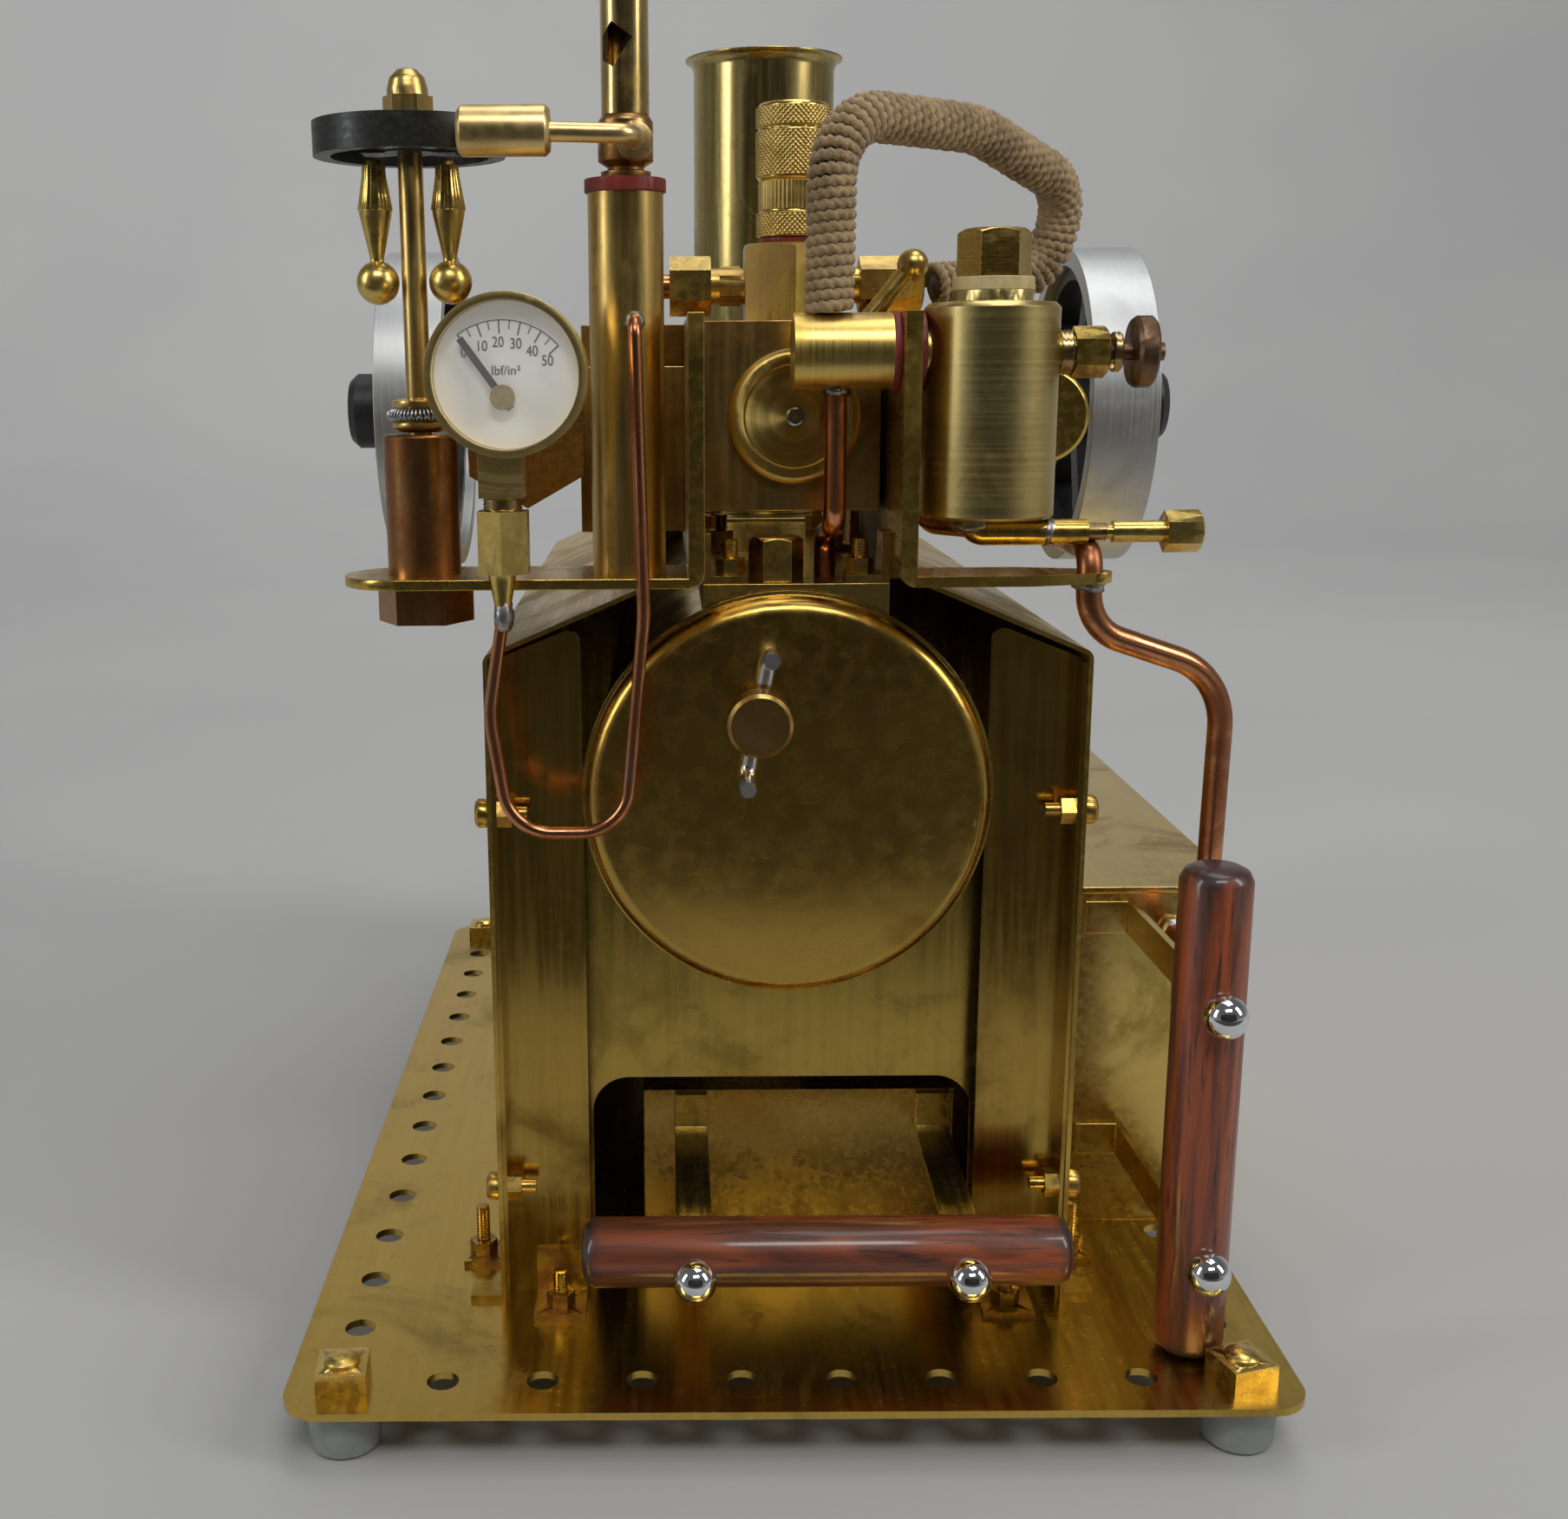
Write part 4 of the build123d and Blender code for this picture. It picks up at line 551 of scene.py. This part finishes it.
def skin(line, radius, sides, lobes=0, lobe_height=0.0, twist=0.0):
    """Points and faces of a tube round a line. Lobes give it the plies of a twisted cord."""
    u, v = carried_frames(line)
    count = len(line)
    angles = np.linspace(0, 2 * np.pi, sides, endpoint=False)
    along = np.r_[0, np.cumsum(np.linalg.norm(np.diff(line, axis=0), axis=1))]
    r = radius * np.ones((count, sides))
    if lobes:
        r += lobe_height * (np.abs(np.cos(lobes / 2 * (angles[None, :] - twist * along[:, None]))) - 1)
    points = (line[:, None] + r[..., None] * (np.cos(angles)[None, :, None] * u[:, None]
                                             + np.sin(angles)[None, :, None] * v[:, None])).reshape(-1,
                                                                                                    3)
    faces = quads(count, sides)
    faces.append(tuple(range(sides))[::-1])
    faces.append(tuple((count - 1) * sides + j for j in range(sides)))
    return points, faces


def wound(line, radius, pitch, per_turn):
    """A helix round a line, with per_turn points in each turn."""
    line = evenly(line, pitch / per_turn)
    u, v = carried_frames(line)
    angle = 2 * np.pi * np.arange(len(line)) / per_turn
    return line + radius * (np.cos(angle)[:, None] * u + np.sin(angle)[:, None] * v)


def joined(*parts):
    """Several sets of points and faces as one."""
    points, faces, base = [], [], 0
    for p, f in parts:
        points.append(np.asarray(p, float))
        faces += [tuple(i + base for i in face) for face in f]
        base += len(p)
    return np.vstack(points), faces


def lathe(profile, centre, axis="Z", segments=48, wave=None):
    """Points and faces of a turned piece from (radius, height) pairs.

    wave(angle, height) is added to the radius.
    """
    points = []
    order = {"X": (2, 0, 1), "Y": (0, 2, 1), "Z": (0, 1, 2)}[axis]
    for radius, height in profile:
        for k in range(segments):
            angle = 2 * math.pi * k / segments
            r = radius + (wave(angle, height) if wave else 0.0)
            local = (r * math.cos(angle), r * math.sin(angle), height)
            points.append([local[order[i]] for i in range(3)])
    return np.array(points) + np.array(centre, float), quads(len(profile), segments)


def threads(start, length, radius, pitch, axis, depth=0.16):
    """Thread crests as a turned zigzag, along the axis from start."""
    profile = [(radius - depth, 0)]
    for k in range(int(length / pitch)):
        profile += [(radius, (k + 0.5) * pitch), (radius - depth, (k + 1) * pitch)]
    return lathe(profile, start, axis, 36)


# ---------------------------------------------------------------- detail pieces
# The lagged pipe's corners and bends, from the regulator to the union, and its outer radius.
LAG_POINTS = [(4.7, -70.0, 132.4), (4.9, -69.6, 155.4), (25, -52.5, 155.4), (40.6, -38, 149.4),
              (37, -36.5, 137.5), (21.4, -42, 136.6)]
LAG_RADII = [8.0, 22.0, 7.0, 6.0]
LAG_R = 3.1


def lagging():
    """Cord wound closely round the steam pipe, over a dark inner tube that is painted shade showing in
    the gaps between the turns.
    """
    line = bent(LAG_POINTS, LAG_RADII)
    cord_r, cord_pitch, fuzz, seed = 0.76, 1.3, 0.02, 5
    helix = wound(line, LAG_R - cord_r, cord_pitch, 72)
    points, faces = skin(helix, cord_r, 12, lobes=2, lobe_height=0.28, twist=2.9)
    points += np.random.default_rng(seed).normal(0, fuzz, points.shape)
    cord = cord_fibre("cord_wound", (0.36, 0.245, 0.115), (0.20, 0.13, 0.055))
    obj = piece("cord_lagging", points, faces, cord, "chassis")
    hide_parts("lagged_pipe")
    bite = 0.3                                   # how far the inner tube goes into the cord
    points, faces = skin(evenly(line, 1.0), LAG_R - 2 * cord_r + bite, 16)
    # Painted shade: the inner tube is dark cord colour so that the gaps between the turns look shaded.
    shade = cord_fibre("cord_painted_shade", (0.07, 0.045, 0.022), (0.045, 0.028, 0.014))
    piece("lagging_core", points, faces, shade, "chassis")


def belt():
    """Close-coiled spring round the governor's and the crankshaft's pulleys, with a quarter turn."""
    front_r, back_r = 3.2, 5.1                   # radii of the loop round the two pulleys
    level, drive_x = 120.4, -46.8                # height of the one pulley, x of the other
    turns = np.linspace(0, math.pi, 24)
    front = [(GOVERNOR[0] + front_r * math.cos(t), GOVERNOR[1] - front_r * math.sin(t), level)
             for t in turns]
    back = [(drive_x, CRANK[0] + back_r * math.sin(t), CRANK[1] - back_r * math.cos(t))
            for t in turns]
    loop = front + back + front[:1]
    outer, wire, coil_pitch = 0.85, 0.15, 0.42
    coil = wound(evenly(loop, 0.2), outer - wire, coil_pitch, 9)
    points, faces = skin(coil, wire, 5)
    spring = steel("spring_wire", smooth=0.25)
    obj = piece("spring_belt", points, faces, spring, "chassis")
    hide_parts("drive_belt")


def knurling(brass):
    """Diamond knurling on the safety valve's sleeves, and fine flutes between them."""
    starts, slope, depth = 44, 4.5, 0.22
    flute_count, flute_depth = 48, 0.13
    row_gap, sink = 0.09, 0.3                    # rows along the sleeve, and how far its ends go in
    sleeves = ((4.72, 143.1, 146.0, "diamonds"), (4.82, 150.7, 156.5, "diamonds"),
               (4.82, 157.1, 159.5, "diamonds"), (4.47, 146.4, 150.1, "flutes"))

    def diamonds(angle, height):
        left = abs(math.sin(starts / 2 * angle + height * slope))
        right = abs(math.sin(starts / 2 * angle - height * slope))
        return depth * min(left, right)

    def flutes(angle, height):
        return flute_depth * abs(math.sin(flute_count / 2 * angle))

    parts = []
    for radius, low, high, cut in sleeves:
        count = int((high - low) / row_gap)
        rows = [(radius, low + (high - low) * k / count) for k in range(count + 1)]
        rows = [(radius - sink, low)] + rows + [(radius - sink, high)]
        wave = diamonds if cut == "diamonds" else flutes
        parts.append(lathe(rows, (*SAFETY_VALVE, 0), "Z", 288, wave))
    points, faces = joined(*parts)
    piece("safety_knurling", points, faces, brass, "chassis")


def arm_flutes(brass):
    """Fine flutes on the upper half of each governor arm."""
    rows = [(1.30, 149.6), (1.37, 148.4), (1.69, 146.5), (2.02, 144.6), (1.9, 144.4)]
    arm_offset, flutes, depth = 4.4, 18, 0.09
    for side, word in ((-1, "left"), (1, "right")):
        centre = (GOVERNOR[0] + side * arm_offset, GOVERNOR[1], 0)
        points, faces = lathe(rows, centre, "Z", 72,
                              lambda angle, height: depth * abs(math.sin(flutes / 2 * angle)))
        piece("arm_flutes_" + word, points, faces, brass, "arm_" + word)


def flat_text(body, size):
    """Outline of some text as points in its own plane, with faces, centred on the origin."""
    curve = bpy.data.curves.new("text", "FONT")
    curve.body, curve.size = body, size
    curve.align_x, curve.align_y = "CENTER", "CENTER"
    curve.extrude = 0.015
    maker = bpy.data.objects.new("text", curve)
    link_to_scene(maker)
    mesh = bpy.data.meshes.new_from_object(maker.evaluated_get(bpy.context.evaluated_depsgraph_get()))
    points = np.array([v.co for v in mesh.vertices], float)
    faces = [tuple(p.vertices) for p in mesh.polygons]
    bpy.data.objects.remove(maker)
    bpy.data.meshes.remove(mesh)
    bpy.data.curves.remove(curve)
    return points, faces


def strip_between(inner, outer, angle, width):
    """Thin radial tick on the dial, as a box in the dial's plane."""
    out = np.array([math.sin(angle), math.cos(angle)])
    side = np.array([out[1], -out[0]]) * width / 2
    ring = [out * inner - side, out * inner + side, out * outer + side, out * outer - side]
    points = [(p[0], 0.0, p[1]) for p in ring] + [(p[0], 0.03, p[1]) for p in ring]
    return points, [(0, 1, 2, 3), (7, 6, 5, 4), (0, 4, 5, 1), (1, 5, 6, 2), (2, 6, 7, 3), (3, 7, 4, 0)]


def dial_print():
    """Scale from 0 to 50 with its arc, its ticks and its unit."""
    zero, span, outer = math.radians(-35.7), math.radians(84.0), 8.7
    ticks, arc_steps, arc_half_width, overlap = 10, 40, 0.06, 1.05
    parts = []
    for k in range(ticks + 1):
        length, width = (1.0, 0.12) if k % 2 else (1.5, 0.16)
        parts.append(strip_between(outer - length, outer, zero + span * k / ticks, width))
    arc = [zero + span * k / arc_steps for k in range(arc_steps + 1)]
    for a, b in zip(arc, arc[1:]):
        parts.append(strip_between(outer - arc_half_width, outer + arc_half_width, (a + b) / 2,
                                   outer * (b - a) * overlap))
    # Each number's lean from the top in degrees and its distance from the pivot.
    numbers = ((-41, 6.7), (-22, 6.2), (-4, 6.2), (15, 6.2), (34, 6.2), (52, 6.6))
    narrow, number_size, unit_size = 0.82, 1.7, 1.5
    for k, (lean, reach) in enumerate(numbers):
        angle = math.radians(lean)
        points, faces = flat_text(str(10 * k), number_size)
        spot = np.array([reach * math.sin(angle), 0, reach * math.cos(angle)])
        points = np.column_stack([narrow * points[:, 0], points[:, 2], points[:, 1]]) + spot
        parts.append((points, faces))
    points, faces = flat_text("lbf/in²", unit_size)
    parts.append((np.column_stack([points[:, 0], points[:, 2], points[:, 1]]) + (0.4, 0, 3.0), faces))
    points, faces = joined(*parts)
    clear = 0.04                                 # between the dial and its print
    points = points + (PIVOT[0], DIAL_Y - clear, PIVOT[1])
    piece("dial_marks", points, faces, ink(), "chassis", smooth=False)


def blob(centre, size, seed, stretch):
    """Points and faces of an uneven lump of solder."""
    rng = np.random.default_rng(seed)
    points = []
    rings, sides, unevenness = 9, 16, 0.16
    bumps = rng.uniform(-unevenness, unevenness, (rings + 1, sides))
    for i in range(rings + 1):
        polar = math.pi * i / rings
        for j in range(sides):
            angle = 2 * math.pi * j / sides
            r = size * (1 + bumps[i, j] * math.sin(polar))
            points.append([r * math.sin(polar) * math.cos(angle) * stretch[0],
                           r * math.sin(polar) * math.sin(angle) * stretch[1],
                           r * math.cos(polar) * stretch[2]])
    return np.array(points) + np.array(centre, float), quads(rings + 1, sides)


def solder_joints():
    """Lumps of solder where pipes meet fittings: centre, radius and stretch of each."""
    spots = [((-34.9, -80.2, 97.0), 1.25, (1, 1, 1.9)), ((37.3, -72.0, 99.0), 2.1, (1, 1, 0.55)),
             ((22.4, -71.2, 106.6), 2.1, (1.1, 1.0, 0.6)), ((32.0, -71.2, 105.6), 1.75, (0.8, 1, 1)),
             ((-18.8, -75.2, 131.2), 1.2, (1, 0.8, 1)), ((5.7, -70.0, 122.9), 1.8, (1, 1, 0.5)),
             ((57.6, -48.4, 45.6), 2.2, (1, 0.5, 1))]
    first_seed = 11
    parts = [blob(centre, size, first_seed + k, stretch)
             for k, (centre, size, stretch) in enumerate(spots)]
    points, faces = joined(*parts)
    piece("solder_joints", points, faces, solder(), "chassis")


def hexagon_socket_screw():
    """Small steel screw in the middle of the valve disc, with a hexagonal socket."""
    x, z = DISC
    rim = [(0.55, 0.0), (0.95, 0.0), (1.15, 0.12), (1.2, 0.3), (1.2, 0.9)]
    bottom = -61.2
    outside = lathe([(r, DISC_FRONT_Y + h) for r, h in rim], (x, 0, z), "Y", 40)
    socket = lathe([(0.55, DISC_FRONT_Y), (0.55, bottom), (0.02, bottom)], (x, 0, z), "Y", 6)
    points, faces = joined(outside, socket)
    bright = steel("screw_steel", smooth=0.15)
    piece("disc_screw", points, faces, bright, "chassis", smooth=False)


def visible_threads(brass, dark_brass):
    """Threads at the needle valve, the gauge union, the studs and the lubricator's cap."""
    stud_r, stud_pitch = 0.98, 0.42
    studs = [((DISC[0] + side * 8.3, y, 101.9), 2.3) for side in (-1, 1) for y in (-63.4, -24.0, 2.0)]
    studs += [((x, -71.4, 2.7), 2.8) for x in (-30.4, 30.4)]
    studs += [((side * 42.4, y, 2.9), 5.0) for side in (-1, 1) for y in (-57.0, 55.0)]
    points, faces = joined(*[threads(start, length, stud_r, stud_pitch, "Z") for start, length in studs])
    piece("stud_threads", points, faces, brass, "chassis")
    # Start, length, radius and pitch of the crests on each fitting.
    fittings = [threads((32.6, -70.0, 127.3), 1.7, 2.72, 0.55, "X", 0.28),
                threads((39.2, -70.0, 127.3), 1.1, 2.45, 0.5, "X"),
                threads((-34.6, -80.2, 109.5), 1.5, 2.35, 0.45, "Z"),
                threads((36.9, -71.2, 105.6), 2.6, 1.12, 0.4, "X")]
    points, faces = joined(*fittings)
    piece("fitting_threads", points, faces, dark_brass, "chassis")


# ---------------------------------------------------------------- dressing
def paint_rest():
    """Dress the nodes that aren't plain brass or steel."""
    dress("copper_pipes", copper(), edge=0)
    dress("washers", fibre_washer())
    dress("rubber_feet", rubber(), edge=0.3)
    dress("burner_handle", wood("burner_wood", "X", (-26.8, 36.7)), edge=0)
    dress("tank_handle", wood("tank_wood", "Z", (DECK + 0.3, DECK + 65.6)), edge=0)
    dress("burner_nails", chrome(), edge=0)
    dress("tank_nails", chrome(), edge=0)
    dress("gauge_dial", dial_face(), edge=0)
    dress("gauge_glass", window_glass(), edge=0)
    dress("gauge_needle", needle_paint(), edge=0)
    spider = plastic("spider_black", (0.011, 0.011, 0.012), (0.018, 0.018, 0.020))
    dress("flywheel_spiders", spider, edge=0.25)
    wheel = plastic("wheel_black", (0.014, 0.014, 0.013), (0.022, 0.022, 0.020), 0.36)
    dress("governor_wheel", wheel, edge=0.25)
    rods = worn("piston_metals", ((0.60, 0.60, 0.60), (0.42, 0.41, 0.39)))
    dress("piston_left", rods)
    dress("piston_right", rods)
    shaft_steel = ((0.62, 0.62, 0.62), (0.40, 0.39, 0.38))
    pulley_left, pulley_right = -0.0485, -0.0452     # x of the brass pulley's sides, in metres

    def on_pulley(shader):
        _, along = shader.around((0, 0), "X")
        return shader.calc("MULTIPLY", shader.calc("GREATER_THAN", along, pulley_left),
                           shader.calc("LESS_THAN", along, pulley_right))

    dress("crankshaft", worn("crank_metals", shaft_steel, (GOLDEN, OLIVE), on_pulley))
    plug_brass = ((0.58, 0.38, 0.12), (0.36, 0.22, 0.07))
    bar_steel = ((0.86, 0.86, 0.86), (0.66, 0.66, 0.65))
    plug_axis, plug_radius = (-0.0039, 0.0915), 0.0044     # x and z above the floor, in metres

    def off_plug(shader):
        radius, _ = shader.around(plug_axis, "Y")
        return shader.calc("GREATER_THAN", radius, plug_radius)

    dress("level_plug", worn("plug_metals", plug_brass, bar_steel, off_plug), edge=0)


# ---------------------------------------------------------------- studio
def seamless_bowl():
    """Pale seamless floor that curves up into walls."""
    shader = Shader("studio_paper", roughness=0.8)
    cloud = shader.noise(shader.place, 3.0, 2.0)
    fine = shader.noise(shader.place, 260.0, 3.0)
    tone = shader.blend(shader.spread(cloud, 0.3, 0.7), (0.44, 0.44, 0.436), (0.41, 0.412, 0.41))
    paper = shader.finish(tone, None, fine, 0.03, 0.0002)
    flat, rise, wall = 1.1, 0.9, 1.6             # radius of the flat, radius of the curve, height
    profile = [(0.001, 0.0), (0.4, 0.0), (0.8, 0.0)]
    profile += [(flat + rise * math.sin(math.radians(a)), rise * (1 - math.cos(math.radians(a))))
                for a in range(0, 91, 6)]
    profile.append((flat + rise, wall))
    points, faces = lathe(profile, (0, 0, 0), "Z", 96)
    bowl = mesh_object("studio_bowl", points, faces, paper)


def light_panel(name, place, target, size, power, tint=(1.0, 1.0, 1.0)):
    """Soft rectangular light aimed at a point."""
    light = bpy.data.lights.new(name, "AREA")
    light.shape, light.size, light.size_y = "RECTANGLE", size[0], size[1]
    light.energy, light.color = power, tint
    obj = bpy.data.objects.new(name, light)
    obj.location = place
    obj.rotation_euler = (Vector(target) - Vector(place)).to_track_quat("-Z", "Y").to_euler()
    link_to_scene(obj)


def card(name, corners):
    """Black card that only reflections see, so that the brass facing it stays dark."""
    felt = Shader(name, roughness=0.9)
    nap = felt.noise(felt.place, 300.0, 2.0)
    cloth = felt.finish(felt.blend(nap, (0.02, 0.018, 0.014), (0.03, 0.027, 0.022)))
    obj = mesh_object(name, corners, [(0, 1, 2, 3)], cloth, smooth=False)
    obj.visible_camera = obj.visible_diffuse = obj.visible_shadow = obj.visible_transmission = False


def air():
    """Dim even light from all round."""
    world = bpy.data.worlds.new("studio_air")
    world.use_nodes = True
    colour, strength = world.node_tree.nodes["Background"].inputs[:2]
    colour.default_value = (0.85, 0.87, 0.9, 1)
    strength.default_value = 0.12
    bpy.context.scene.world = world


def viewpoint():
    """Camera at the viewing angle of the original, in metres and degrees."""
    lens = bpy.data.cameras.new("camera")
    lens.sensor_width = 36.0
    lens.lens = 39.762
    lens.shift_x, lens.shift_y = 0.0774, -0.0036
    lens.clip_start = 0.01
    camera = bpy.data.objects.new("camera", lens)
    camera.location = (-0.01518, -0.28692, 0.13443)
    camera.rotation_euler = [math.radians(a) for a in (77.4299, 0.4168, 0.1027)]
    link_to_scene(camera)
    bpy.context.scene.camera = camera
    bpy.context.scene.view_settings.view_transform = "Standard"


def studio():
    """Bowl, soft lights, black cards in front, dim air and the camera."""
    seamless_bowl()
    light_panel("top_soft", (0.15, 0.1, 1.3), (0.0, 0.0, 0.05), (0.9, 0.6), 5.0)
    light_panel("right_key", (1.1, -0.5, 0.8), (0.0, 0.0, 0.1), (0.3, 0.8), 6.5, (1.0, 0.985, 0.95))
    light_panel("left_fill", (-1.1, -0.45, 0.6), (0.0, 0.0, 0.1), (0.25, 0.8), 4.0, (0.96, 0.98, 1.0))
    light_panel("front_high", (0.1, -0.95, 1.15), (0.0, -0.05, 0.1), (0.7, 0.25), 6.0, (1.0, 0.99, 0.97))
    light_panel("back_wash", (-0.2, 0.9, 1.3), (0.0, 1.9, 0.4), (1.4, 0.4), 11.0)
    side, near, far, height = 0.9, -0.205, -1.15, 0.75
    card("floor_card", [(-side, near, 0.001), (side, near, 0.001), (side, far, 0.001),
                        (-side, far, 0.001)])
    card("wall_card", [(-side, far, 0.0), (side, far, 0.0), (side, far, height), (-side, far, height)])
    air()
    viewpoint()


paint_metals()
paint_rest()
plain_brass = metal("detail_brass", BRIGHT, GOLDEN, age=0.4, patch=150)
dark_brass = metal("detail_dark_brass", (0.44, 0.32, 0.15), BROWN, age=0.6, patch=200)
lagging()
belt()
knurling(metal("knurl_brass", (0.66, 0.47, 0.15), (0.46, 0.31, 0.09), 0.34, 0.46, patch=120))
arm_flutes(plain_brass)
dial_print()
solder_joints()
hexagon_socket_screw()
visible_threads(plain_brass, dark_brass)
studio()
